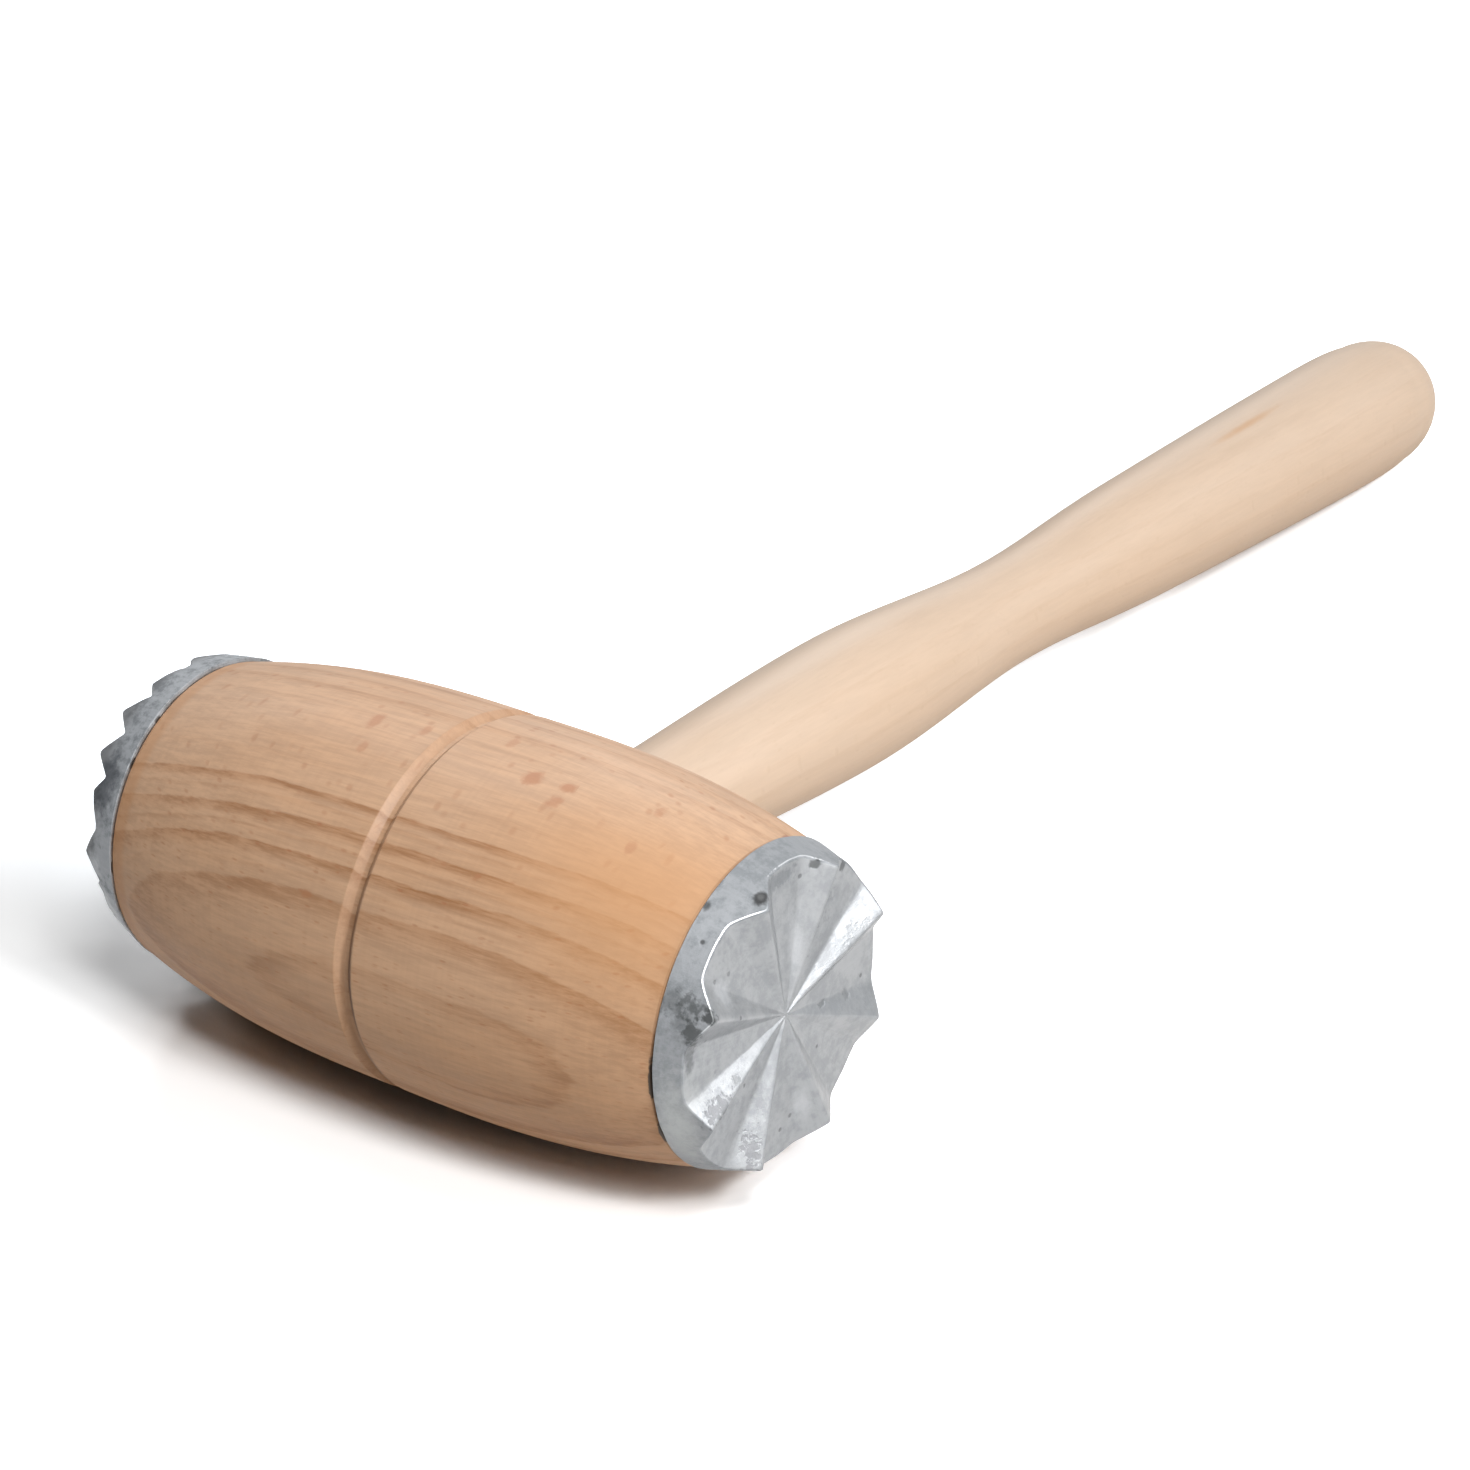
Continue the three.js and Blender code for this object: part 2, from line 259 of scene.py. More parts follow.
@dataclass
class HeadBarrel:
    """The turned beech barrel: one groove round its middle, a bore in each end and a blind socket.

    The groove drifts towards the tooth cap on the lower part of the barrel. On one stretch, in degrees round
    the axis from the top, the wood is worn back from the star cap.
    """

    stance: Stance
    shape: BarrelShape
    facets: int = 192
    bulge_steps: int = 26
    groove_width: float = 3 * MM
    groove_depth: float = 1 * MM
    groove_floor: float = 0.8 * MM
    groove_softness: float = 0.07
    groove_margin: float = 0.6
    groove_steps: int = 48
    groove_drift: float = 0.7 * MM
    drift_heights: Span = (-1.5 * MM, 18.5 * MM)
    drift_reach: Span = (2 * MM, 7 * MM)
    bore_radius: float = 6.25 * MM
    bore_depth: float = 16.6 * MM
    edge_round: float = 0.35 * MM
    edge_steps: int = 4
    socket_radius: float = 8.25 * MM
    socket_depth: float = 34.6 * MM
    socket_facets: int = 96
    mouth_radius: float = 8.62 * MM
    mouth_taper: float = 4 * MM
    mouth_lip: float = 0.5 * MM
    mouth_flare: float = 0.1 * MM
    drill_past: float = 2 * MM
    gap_from: float = 74
    gap_to: float = 124
    gap_rise: float = 8
    gap_fall: float = 14
    gap_depth: float = 0.5 * MM
    gap_length: float = 1.1 * MM
    gap_grain: float = 1.6 * MM
    gap_raggedness: float = 0.5
    outer_wood: Span = (18 * MM, 21 * MM)
    mark_depth: float = 0.06 * MM
    mark_width: float = 14 * MM
    mark_stretch: float = 0.4
    marks_from: float = 20 * MM

    def groove(self, along: float) -> float:
        """Depth of the groove: two walls and a floor with softened corners.

        Args:
            along: Distance from the middle of the barrel.

        Returns:
            The depth below the bulge.
        """
        wall = (self.groove_width - self.groove_floor) / 2
        share = (self.groove_width / 2 - abs(along)) / wall
        soft = self.groove_softness
        return self.groove_depth * (math.hypot(share, soft) - math.hypot(share - 1, soft) + 1) / 2

    def outline(self) -> Outline:
        """Section of the barrel from one bore's floor to the other's.

        Returns:
            The outline, with both ends on the axis.
        """
        half, turn = self.shape.half_length, self.edge_round
        near = self.groove_width * self.groove_margin
        bulge = stretch(near, half - turn, self.bulge_steps)[1:]
        steps = [-step for step in reversed(bulge)] + stretch(-near, near, self.groove_steps) + bulge
        side = [(step, float(self.shape.radius(step)) - self.groove(step)) for step in steps]
        lip = float(self.shape.radius(half - turn)) - turn
        left = arc((turn - half, lip), turn, 180, 90, self.edge_steps)[:-1]
        right = arc((half - turn, lip), turn, 90, 0, self.edge_steps)[1:]
        floor = half - self.bore_depth
        bore = [(floor, 0), (floor, self.bore_radius), (half, self.bore_radius)]
        return [(-along, radius) for along, radius in bore] + left + side + right + bore[::-1]

    def socket(self) -> Outline:
        """Section of the drill that cuts the handle's socket, with its mouth eased open.

        Returns:
            The outline, with both ends on the axis.
        """
        reach = self.shape.belly
        floor = reach - self.socket_depth
        return [
            (floor, 0),
            (floor, self.socket_radius),
            (reach - self.mouth_taper, self.socket_radius),
            (reach - self.mouth_lip, self.mouth_radius),
            (reach + self.drill_past, self.mouth_radius + self.mouth_flare),
            (reach + self.drill_past, 0),
        ]

    def shrink(self, along: Array, radius: Array, angle: Array) -> Places:
        """Wears the wood back at the star cap, draws the groove aside low down and leaves lathe marks.

        Args:
            along: Distances from the middle of the barrel.
            radius: Distances from the axis.
            angle: Angles round the axis from the top.

        Returns:
            The new distances along and from the axis.
        """
        half = self.shape.half_length
        degrees = np.degrees(angle) % 360
        window = smoothstep(self.gap_from, self.gap_from + self.gap_rise, degrees)
        window *= 1 - smoothstep(self.gap_to - self.gap_fall, self.gap_to, degrees)
        ragged = unevenness(along, radius, angle, self.gap_grain) - 0.5
        edge = smoothstep(half - self.gap_length, half, along)
        outer = smoothstep(*self.outer_wood, radius)
        along = along - self.gap_depth * window * edge * outer * (1 + self.gap_raggedness * ragged)
        sunk = 1 - smoothstep(*self.drift_heights, radius * np.cos(angle))
        near = 1 - smoothstep(*self.drift_reach, np.abs(along))
        along = along - self.groove_drift * sunk * near * outer
        marks = unevenness(along * self.mark_stretch, radius, angle, self.mark_width) * self.mark_depth
        return along, radius + np.where(radius > self.marks_from, np.minimum(marks, 0), 0)

    def build(self) -> bpy.types.Object:
        """Turns the barrel and bores the handle's socket.

        Returns:
            The barrel as one closed piece.
        """
        lathe = Lathe(self.stance.middle, Vector((1, 0, 0)), self.stance.up)
        barrel = lathe.spin("turned_barrel", self.outline(), self.facets)
        lathe.carve(barrel, self.shrink)
        drill = Lathe(self.stance.grip_origin, self.stance.grip, self.stance.up)
        subtract(barrel, drill.spin("socket_drill", self.socket(), self.socket_facets))
        smooth(barrel, WOOD_CREASE)
        return barrel


class End(Enum):
    """The two ends of the barrel, by the way their caps look along X."""

    STAR = 1
    TOOTH = -1


@dataclass
class CastCap:
    """A cast aluminium cap: a skirt that follows the barrel, a struck face and a ringed peg behind.

    The blank is spun with a flat face, and the face, its rounded rim and the skirt are then carved. The
    foot gives the height and the inset of points on the skirt's eased lower corner. The casting sits a
    little high on the wood, and may sit higher still at its face.
    """

    stance: Stance
    shape: BarrelShape
    end: End
    name: str = "cap"
    facets: int = 288
    face_steps: int = 60
    skirt_steps: int = 22
    rim_steps: int = 5
    rim_passes: int = 8
    proud: float = 0.35 * MM
    seat_gap: float = 0.12 * MM
    rim_round: float = 0.42 * MM
    rim_width: float = 4 * MM
    foot: tuple[Span, ...] = ((0, 0.15 * MM), (0.1 * MM, 0.02 * MM))
    foot_height: float = 0.25 * MM
    back_relief: float = 1 * MM
    peg_radius: float = 6 * MM
    peg_length: float = 15.9 * MM
    peg_point: float = 1.2 * MM
    peg_chamfer: float = 0.6 * MM
    peg_rings: int = 4
    ring_depth: float = 0.6 * MM
    ring_share: float = 0.8
    least_height: float = 4 * MM
    crest_radius: float = 20 * MM
    roughness: float = 0.05 * MM
    rough_from: float = 15 * MM
    rough_out: float = 0.6
    cast_grain: float = 1.8 * MM
    sits_high: float = 0.12 * MM
    face_high: float = 0.0

    @property
    def lathe(self) -> Lathe:
        """Axis of the cap.

        Returns:
            The lathe, with its zero on the seat.
        """
        axis = Vector((self.end.value, 0, 0))
        seat = self.shape.half_length + self.seat_gap
        return Lathe(self.stance.middle + axis * seat, axis, self.stance.up)

    @property
    def blank(self) -> Span:
        """Height of the blank's flat face and radius of its rim."""
        height = max(float(self.face(np.full(1, self.crest_radius), np.zeros(1))[0]), self.least_height)
        return height, float(self.skirt(height - self.rim_round))

    def height(self, grip: Array, up: Array) -> Array:
        """Height of the face above the seat, at a place along the handle's way and upwards."""
        raise NotImplementedError

    def skirt(self, height: float | Array) -> float | Array:
        """Radius of the skirt at a height above the seat."""
        return self.shape.radius(self.shape.half_length + self.seat_gap + height) + self.proud

    def face(self, radius: Array, angle: Array) -> Array:
        """Height of the face by its place on the lathe.

        Args:
            radius: Distances from the axis.
            angle: Angles round the axis from the top.

        Returns:
            The heights above the seat.
        """
        lathe = self.lathe
        across = lathe.axis.cross(lathe.side).dot(self.stance.grip)
        return self.height(radius * np.sin(angle) * across, radius * np.cos(angle))

    def blank_outline(self) -> Outline:
        """Section of the uncut cap, from the peg's end to the middle of the face.

        Returns:
            The outline, with both ends on the axis.
        """
        blank, rim = self.blank
        turn = self.rim_round
        pitch = (self.peg_length - self.peg_point) / self.peg_rings
        core = self.peg_radius - self.ring_depth
        outline = [(-self.peg_length, 0), (-self.peg_length, core - self.peg_chamfer)]
        for ring in range(self.peg_rings):
            start = self.peg_point - self.peg_length + ring * pitch
            outline += [(start, core), (start + pitch * self.ring_share, self.peg_radius)]
        seat = float(self.skirt(0.0))
        inner = seat - self.rim_width
        outline += [(self.back_relief, core), (self.back_relief, inner - self.back_relief), (0, inner)]
        outline += [(height, seat - inset) for height, inset in self.foot]
        heights = stretch(self.foot_height, blank - turn, self.skirt_steps)[:-1]
        outline += [(height, float(self.skirt(height))) for height in heights]
        outline += arc((blank - turn, rim - turn), turn, 90, 0, self.rim_steps)
        outline += [(blank, (rim - turn) * share) for share in reversed(stretch(0, 1, self.face_steps)[1:-1])]
        return outline + [(blank, 0)]

    def strike(self, along: Array, radius: Array, angle: Array) -> Places:
        """Carves the blank's flat face into the struck one, with its rim and skirt following.

        Args:
            along: Heights above the seat.
            radius: Distances from the axis.
            angle: Angles round the axis from the top.

        Returns:
            The new heights and distances.
        """
        blank, rim = self.blank
        turn = self.rim_round
        edge = np.full_like(angle, rim)
        for _ in range(self.rim_passes):
            top = self.face(edge - turn, angle)
            edge = self.skirt(top - turn)
        on_face = (along > blank - WELD) & (radius <= rim - turn + WELD)
        on_corner = (along > blank - turn - WELD) & ~on_face & (radius > rim - turn - WELD)
        on_skirt = (radius > rim - turn) & ~on_face & ~on_corner & (along >= -WELD)
        zones = [on_face, on_corner, on_skirt]
        face_radius = radius / (rim - turn) * (edge - turn)
        skirt_along = along / (blank - turn) * (top - turn)
        followed = radius + self.skirt(skirt_along) - self.skirt(along)
        heights = [self.face(face_radius, angle), along + top - blank, skirt_along]
        new_along = np.select(zones, heights, along)
        new_radius = np.select(zones, [face_radius, radius + edge - rim, followed], radius)
        shown = on_face | on_corner | on_skirt
        lift = (self.sits_high + self.face_high * np.clip(new_along / blank, 0, 1)) * np.cos(angle)
        share = np.clip(new_radius / edge, 0, 1) ** 2
        new_radius = new_radius + np.where(shown, lift * share, 0)
        return new_along, self.roughen(new_along, new_radius, angle, shown)

    def roughen(self, along: Array, radius: Array, angle: Array, shown: Array) -> Array:
        """Draws the radius in and out a little, as sand casting leaves it."""
        wave = np.minimum(unevenness(along, radius, angle, self.cast_grain), self.rough_out) * self.roughness
        return radius + np.where(shown & (radius > self.rough_from), wave, 0)

    def build(self) -> bpy.types.Object:
        """Spins the blank and carves its face.

        Returns:
            The cap as one closed piece.
        """
        cap = self.lathe.spin(self.name, self.blank_outline(), self.facets)
        self.lathe.carve(cap, self.strike)
        smooth(cap, CAST_CREASE)
        return cap


@dataclass
class StarCap(CastCap):
    """The star: eight ridges rise from the centre to the rim, with flat floors sinking between them."""

    name: str = "star_casting"
    facets: int = 384
    ridges: int = 8
    centre_height: float = 4.8 * MM
    tip_rise: float = 2.45 * MM
    tip_radius: float = 20.8 * MM
    floor_sink: float = 0.75 * MM
    ridge_spread: float = math.radians(12)
    crest_round: float = 0.2 * MM
    crest_easing: float = 5 * MM
    valley_round: float = 0.16 * MM
    valley_easing: float = 0.5
    rim_valley_round: float = 0.5 * MM
    rim_easing: Span = (0.75, 0.98)

    def height(self, grip: Array, up: Array) -> Array:
        """Planes through the centre, with their ridges and valleys rounded away from it.

        Args:
            grip: Places along the handle's way.
            up: Places upwards.

        Returns:
            The heights above the seat.
        """
        radius = np.hypot(grip, up)
        pitch = 2 * math.pi / self.ridges
        turn = np.arctan2(up, grip) / pitch - 0.5
        off = np.abs(turn - np.round(turn)) * pitch
        share = radius / self.tip_radius
        side = self.tip_rise * np.sin(self.ridge_spread - off) - self.floor_sink * np.sin(off)
        side = side / math.sin(self.ridge_spread) * share
        floor = -self.floor_sink * share * np.cos(pitch / 2 - off) / math.cos(pitch / 2 - self.ridge_spread)
        soft = self.crest_round * smoothstep(0, self.crest_easing, radius)
        across = radius * np.sin(off)
        slope = (self.tip_rise + self.floor_sink) / (self.tip_radius * math.sin(self.ridge_spread))
        crest = slope * (np.sqrt(across**2 + soft**2) - across)
        widening = (self.rim_valley_round - self.valley_round) * smoothstep(*self.rim_easing, share)
        soft = (self.valley_round + widening) * np.minimum(share / self.valley_easing, 1)
        blend = np.sqrt((side - floor) ** 2 + soft**2)
        return self.centre_height + (side + floor + blend) / 2 - crest


@dataclass
class ToothCap(CastCap):
    """The tooth cap: a square field of pyramids, turned against the handle and off centre as cast."""

    name: str = "tooth_casting"
    facets: int = 432
    face_steps: int = 78
    sits_high: float = 0.3 * MM
    face_high: float = 0.7 * MM
    floor_height: float = 4.13 * MM
    tooth_height: float = 3.3 * MM
    pitch: float = 6.4 * MM
    turn: float = math.radians(40)
    shift: Span = (2.7 * MM, 1.1 * MM)
    softness: float = 0.985
    tip_flat: float = 0.08
    edge_softness: float = 0.05
    valley_sink: float = 0.02

    def slope(self, place: Array) -> Array:
        """Softened zigzag: 0 on a row of tips, 1 in the valley beside it."""
        zigzag = np.arccos(self.softness * np.cos(2 * math.pi * place / self.pitch)) / math.pi
        return (zigzag - self.tip_flat) / (1 - 2 * self.tip_flat)

    def height(self, grip: Array, up: Array) -> Array:
        """Square pyramids with rounded tips, edges and valleys.

        Args:
            grip: Places along the handle's way.
            up: Places upwards.

        Returns:
            The heights above the seat.
        """
        cosine, sine = math.cos(self.turn), math.sin(self.turn)
        one = self.slope(cosine * grip + sine * up - self.shift[0])
        other = self.slope(cosine * up - sine * grip - self.shift[1])
        steeper = (one + other + np.sqrt((one - other) ** 2 + self.edge_softness**2)) / 2
        return self.floor_height + self.tooth_height * np.clip(1 - steeper, -self.valley_sink, 1)


@dataclass
class Handle:
    """The turned handle: a tenon, a slim neck, a swell, a waist and a long grip with a domed butt.

    The stations give the radius at distances from the barrel's belly. The inset brings the round surface
    from the corners of the solid's forty sides in to their flats.
    """

    stance: Stance
    tenon_radius: float = 8 * MM
    tenon_length: float = 34 * MM
    tenon_chamfer: float = 1.5 * MM
    shoulder: float = 0.75 * MM
    stations: tuple[Span, ...] = (
        (0, 8.5 * MM),
        (60.5 * MM, 11.1 * MM),
        (107 * MM, 8.8 * MM),
        (151 * MM, 10.9 * MM),
        (221.5 * MM, 12.8 * MM),
        (238.7 * MM, 12.3 * MM),
    )
    inset: float = 0.9969
    dome_length: float = 15 * MM
    dome_steps: int = 16
    facets: int = 128
    steps: int = 22
    sanded_from: float = 8 * MM
    sand_depth: float = 0.12 * MM
    sand_width: float = 12 * MM
    sand_stretch: float = 0.35

    def curve(self) -> Outline:
        """Even curve through the stations, each stretch bent towards its neighbours.

        Returns:
            Pairs of distance from the belly and radius.
        """
        places = [Vector(station) for station in self.stations]
        ends = [places[0], *places, places[-1]]
        points: Outline = []
        for before, here, there, after in zip(ends, ends[1:], ends[2:], ends[3:]):
            leave, arrive = (there - before) / 2, (after - here) / 2
            for step in range(self.steps):
                t = step / self.steps
                cubic = (2 * here - 2 * there + leave + arrive) * t**3
                square = (3 * there - 3 * here - 2 * leave - arrive) * t**2
                points.append(tuple(cubic + square + leave * t + here))
        return points + [tuple(places[-1])]

    def outline(self) -> Outline:
        """Section from the tenon's end to the middle of the dome.

        Returns:
            The outline, measured from the middle of the head, with both ends on the axis.
        """
        radius, length = self.tenon_radius, self.tenon_length
        tenon = [(-length, 0), (-length, radius - self.tenon_chamfer), (self.tenon_chamfer - length, radius)]
        tenon += [(-self.shoulder, radius)]
        grip = [(along, across * self.inset) for along, across in self.curve()]
        end, across = grip[-1]
        turns = stretch(0, math.pi / 2, self.dome_steps)[1:-1]
        dome = [(end + self.dome_length * math.sin(turn), across * math.cos(turn)) for turn in turns]
        points = tenon + grip + dome + [(end + self.dome_length, 0)]
        return [(along + self.stance.belly, across) for along, across in points]

    def wander(self, along: Array, radius: Array, angle: Array) -> Places:
        """Leaves the round a little flat in places, as hand sanding does.

        Args:
            along: Distances from the middle of the head.
            radius: Distances from the axis.
            angle: Angles round the axis from the top.

        Returns:
            The same distances along, and the new ones from the axis.
        """
        wave = unevenness(along * self.sand_stretch, radius, angle, self.sand_width) * self.sand_depth
        sanded = along > self.stance.belly + self.sanded_from
        return along, radius + np.where(sanded, np.minimum(wave, 0), 0)

    def build(self) -> bpy.types.Object:
        """Turns the handle.

        Returns:
            The handle as one closed piece.
        """
        lathe = Lathe(self.stance.grip_origin, self.stance.grip, self.stance.up)
        handle = lathe.spin("turned_handle", self.outline(), self.facets)
        lathe.carve(handle, self.wander)
        smooth(handle, WOOD_CREASE)
        return handle


class Easing(Enum):
    """How a ramp runs between its ends."""

    LINEAR = "LINEAR"
    SMOOTH = "SMOOTHSTEP"
    SMOOTHER = "SMOOTHERSTEP"


class Step(NamedTuple):
    """A ramp: where it starts and ends, and its value at either end."""

    low: Feed
    high: Feed
    start: Feed = 0
    end: Feed = 1


class Grain(NamedTuple):
    """A noise: cells per metre, the same every way or along each axis, its detail and its roughness."""

    scale: Feed
    detail: float = 2
    roughness: float = 0.5


class Board:
    """Adds and joins the nodes of one tree."""

    def __init__(self, tree: bpy.types.NodeTree) -> None:
        """Takes the tree to work on."""
        self.tree = tree

    def add(self, kind: str, inputs: dict | None = None, **settings: object) -> bpy.types.Node:
        """Adds a node.

        Args:
            kind: Blender's name of the node's type.
            inputs: Values or sockets by the name or number of the input.
            settings: Properties of the node.

        Returns:
            The new node.
        """
        node = self.tree.nodes.new(kind)
        for key, value in settings.items():
            setattr(node, key, value)
        for key, value in (inputs or {}).items():
            if isinstance(value, Socket):
                self.link(value, node.inputs[key])
            else:
                node.inputs[key].default_value = value
        return node

    def link(self, source: Socket, target: Socket) -> None:
        """Feeds one socket from another."""
        self.tree.links.new(source, target)

    def math(self, operation: str, *values: Feed, clamp: bool = False) -> Socket:
        """Result of a Math node on numbers or sockets."""
        inputs = dict(enumerate(values))
        return self.add("ShaderNodeMath", inputs, operation=operation, use_clamp=clamp).outputs[0]

    def vector(self, operation: str, *values: Feed) -> Socket:
        """Result of a Vector Math node on vectors or sockets."""
        node = self.add("ShaderNodeVectorMath", dict(enumerate(values)), operation=operation)
        return node.outputs["Value" if operation == "LENGTH" else "Vector"]

    def parts(self, place: Socket) -> Sockets:
        """The three numbers of a vector."""
        return self.add("ShaderNodeSeparateXYZ", {0: place}).outputs

    def ramp(self, value: Feed, step: Step, easing: Easing = Easing.SMOOTH) -> Socket:
        """Value of a ramp.

        Args:
            value: Where on the ramp.
            step: The ramp's ends.
            easing: How it runs between them.

        Returns:
            The value, held at its end values outside the ramp.
        """
        keys = ("From Min", "From Max", "To Min", "To Max")
        inputs = {"Value": value, **dict(zip(keys, step))}
        return self.add("ShaderNodeMapRange", inputs, interpolation_type=easing.value).outputs["Result"]

    def mix(self, share: Feed, one: Colour | Socket, other: Colour | Socket, blend: str = "MIX") -> Socket:
        """Mix of two colours.

        Args:
            share: Share of the other colour.
            one: The colour below.
            other: The colour laid over it.
            blend: How Blender lays it over.

        Returns:
            The mixed colour.
        """
        one, other = (value if isinstance(value, Socket) else (*value, 1) for value in (one, other))
        inputs = {0: share, 6: one, 7: other}
        return self.add("ShaderNodeMix", inputs, data_type="RGBA", blend_type=blend).outputs[2]

    def shade(self, colour: Socket, factor: Socket) -> Socket:
        """A colour made lighter or darker by a factor."""
        grey = self.add("ShaderNodeCombineColor", {0: factor, 1: factor, 2: factor}).outputs[0]
        return self.mix(1.0, colour, grey, "MULTIPLY")

    def spread(self, place: Socket, scale: Feed) -> dict[str, Feed]:
        """Inputs that scale a texture.

        Args:
            place: Place on the piece.
            scale: One scale for every way, or one along each axis.

        Returns:
            The vector and the scale, by the names of the inputs.
        """
        if isinstance(scale, tuple):
            return {"Vector": self.vector("MULTIPLY", place, scale), "Scale": 1}
        return {"Vector": place, "Scale": scale}

    def noise(self, place: Socket, grain: Grain) -> Socket:
        """Noise at a place."""
        inputs = {**self.spread(place, grain.scale), "Detail": grain.detail, "Roughness": grain.roughness}
        return self.add("ShaderNodeTexNoise", inputs).outputs["Fac"]

    def flecks(self, place: Socket, scale: Feed, size: Step, choice: Step) -> Socket:
        """Scattered flecks.

        Args:
            place: Place on the piece.
            scale: Cells per metre, the same every way or along each axis.
            size: Ramp on the distance from the middle of a cell.
            choice: Ramp on a cell's own random number, which picks the cells that show.

        Returns:
            The mask.
        """
        cells = self.add("ShaderNodeTexVoronoi", {**self.spread(place, scale), "Randomness": 1}).outputs
        chosen = self.add("ShaderNodeSeparateColor", {0: cells["Color"]}).outputs[0]
        return self.math("MULTIPLY", self.ramp(cells["Distance"], size), self.ramp(chosen, choice))


NUMBER = "NodeSocketFloat"
VECTOR = "NodeSocketVector"
SLOW_WAVE = Grain((16, 55, 55), 2, 0.5)
FINE_WAVE = Grain((110, 600, 600), 3, 0.65)
WOOD_TONE = Grain((22, 60, 60), 3, 0.55)
FINE_FIBRE = Grain((130, 1700, 1700), 3, 0.7)
BROAD_FIBRE = Grain((45, 420, 420), 2, 0.6)
BROAD_SHARE = 0.4
RAY_CELLS = (560, 260, 210)
RAY_SIZE = Step(0.12, 0.42, 1, 0)
RAY_CHOICE = Step(0.55, 1.0)
RING_EDGE = Step(-0.12 * MM, 0.16 * MM)


def new_group(
    name: str, inputs: dict[str, tuple[str, Feed | None]], outputs: dict[str, str]
) -> tuple[Board, Sockets, Sockets]:
    """Opens a new node group.

    Args:
        name: Name of the group.
        inputs: Type and value of each input socket.
        outputs: Type of each output socket.

    Returns:
        A board on the group, the sockets that come in and the sockets that go out.
    """
    tree = bpy.data.node_groups.new(name, "ShaderNodeTree")
    for key, (kind, value) in inputs.items():
        socket = tree.interface.new_socket(key, in_out="INPUT", socket_type=kind)
        if value is not None:
            socket.default_value = value
    for key, kind in outputs.items():
        tree.interface.new_socket(key, in_out="OUTPUT", socket_type=kind)
    board = Board(tree)
    return board, board.add("NodeGroupInput").outputs, board.add("NodeGroupOutput").inputs


@cache
def wood_figure() -> bpy.types.NodeTree:
    """Distance from the pith, slow tone, fibres and rays of beech, for a grain that runs along X.

    Returns:
        The group, built once. Place is measured from the pith.
    """
    board, source, out = new_group(
        "wood figure",
        {"Place": (VECTOR, None), "Sway": (NUMBER, 0.002), "Tremble": (NUMBER, 0.0005)},
        {"Radius": NUMBER, "Tone": NUMBER, "Fibres": NUMBER, "Rays": NUMBER},
    )
    place = source["Place"]
    radius = board.vector("LENGTH", board.vector("MULTIPLY", place, (0, 1, 1)))
    for wave, swing in ((SLOW_WAVE, source["Sway"]), (FINE_WAVE, source["Tremble"])):
        off = board.math("SUBTRACT", board.noise(place, wave), 0.5)
        radius = board.math("MULTIPLY_ADD", off, swing, radius)
    board.link(radius, out["Radius"])
    board.link(board.noise(place, WOOD_TONE), out["Tone"])
    broad = board.math("MULTIPLY", board.noise(place, BROAD_FIBRE), BROAD_SHARE)
    fibre = board.math("MULTIPLY_ADD", board.noise(place, FINE_FIBRE), 1 - BROAD_SHARE, broad)
    board.link(fibre, out["Fibres"])
    parts = board.parts(place)
    turn = board.math("ARCTAN2", parts[2], parts[1])
    polar = board.add("ShaderNodeCombineXYZ", {0: parts[0], 1: radius, 2: turn}).outputs[0]
    board.link(board.flecks(polar, RAY_CELLS, RAY_SIZE, RAY_CHOICE), out["Rays"])
    return board.tree


@cache
def growth_ring() -> bpy.types.NodeTree:
    """One growth ring: dark at its outer edge, fading towards the pith's side, light just outside.

    Returns:
        The group, built once, which puts out the ring's darkness.
    """
    values = {"Radius": 0, "Edge": 0, "Fade": 0.002, "Depth": 1}
    sockets = {key: (NUMBER, value) for key, value in values.items()}
    board, source, out = new_group("growth ring", sockets, {"Dark": NUMBER})
    inside = board.math("SUBTRACT", source["Edge"], source["Radius"])
    fade = board.ramp(inside, Step(0, source["Fade"], 1, 0), Easing.SMOOTHER)
    dark = board.math("MULTIPLY", board.ramp(inside, RING_EDGE), fade)
    board.link(board.math("MULTIPLY", dark, source["Depth"]), out["Dark"])
    return board.tree


@cache
def blot() -> bpy.types.NodeTree:
    """One soft-edged blot at a place, stretched by its reach, with a ragged edge.

    Returns:
        The group, built once, which puts out a mask.
    """
    board, source, out = new_group(
        "blot",
        {
            "Place": (VECTOR, None),
            "Centre": (VECTOR, None),
            "Reach": (VECTOR, (MM, MM, MM)),
            "Ragged": (NUMBER, 0.5),
            "Fineness": (NUMBER, 900),
            "Softness": (NUMBER, 0.5),
        },
        {"Mask": NUMBER},
    )
    place = source["Place"]
    away = board.vector("DIVIDE", board.vector("SUBTRACT", place, source["Centre"]), source["Reach"])
    crumble = board.noise(place, Grain(source["Fineness"], 3, 0.6))
    crumble = board.math("MULTIPLY", board.math("SUBTRACT", crumble, 0.5), source["Ragged"])
    far = board.math("MULTIPLY_ADD", crumble, 2, board.vector("LENGTH", away))
    inner = board.math("SUBTRACT", 1, source["Softness"])
    board.link(board.ramp(far, Step(inner, 1, 1, 0)), out["Mask"])
    return board.tree


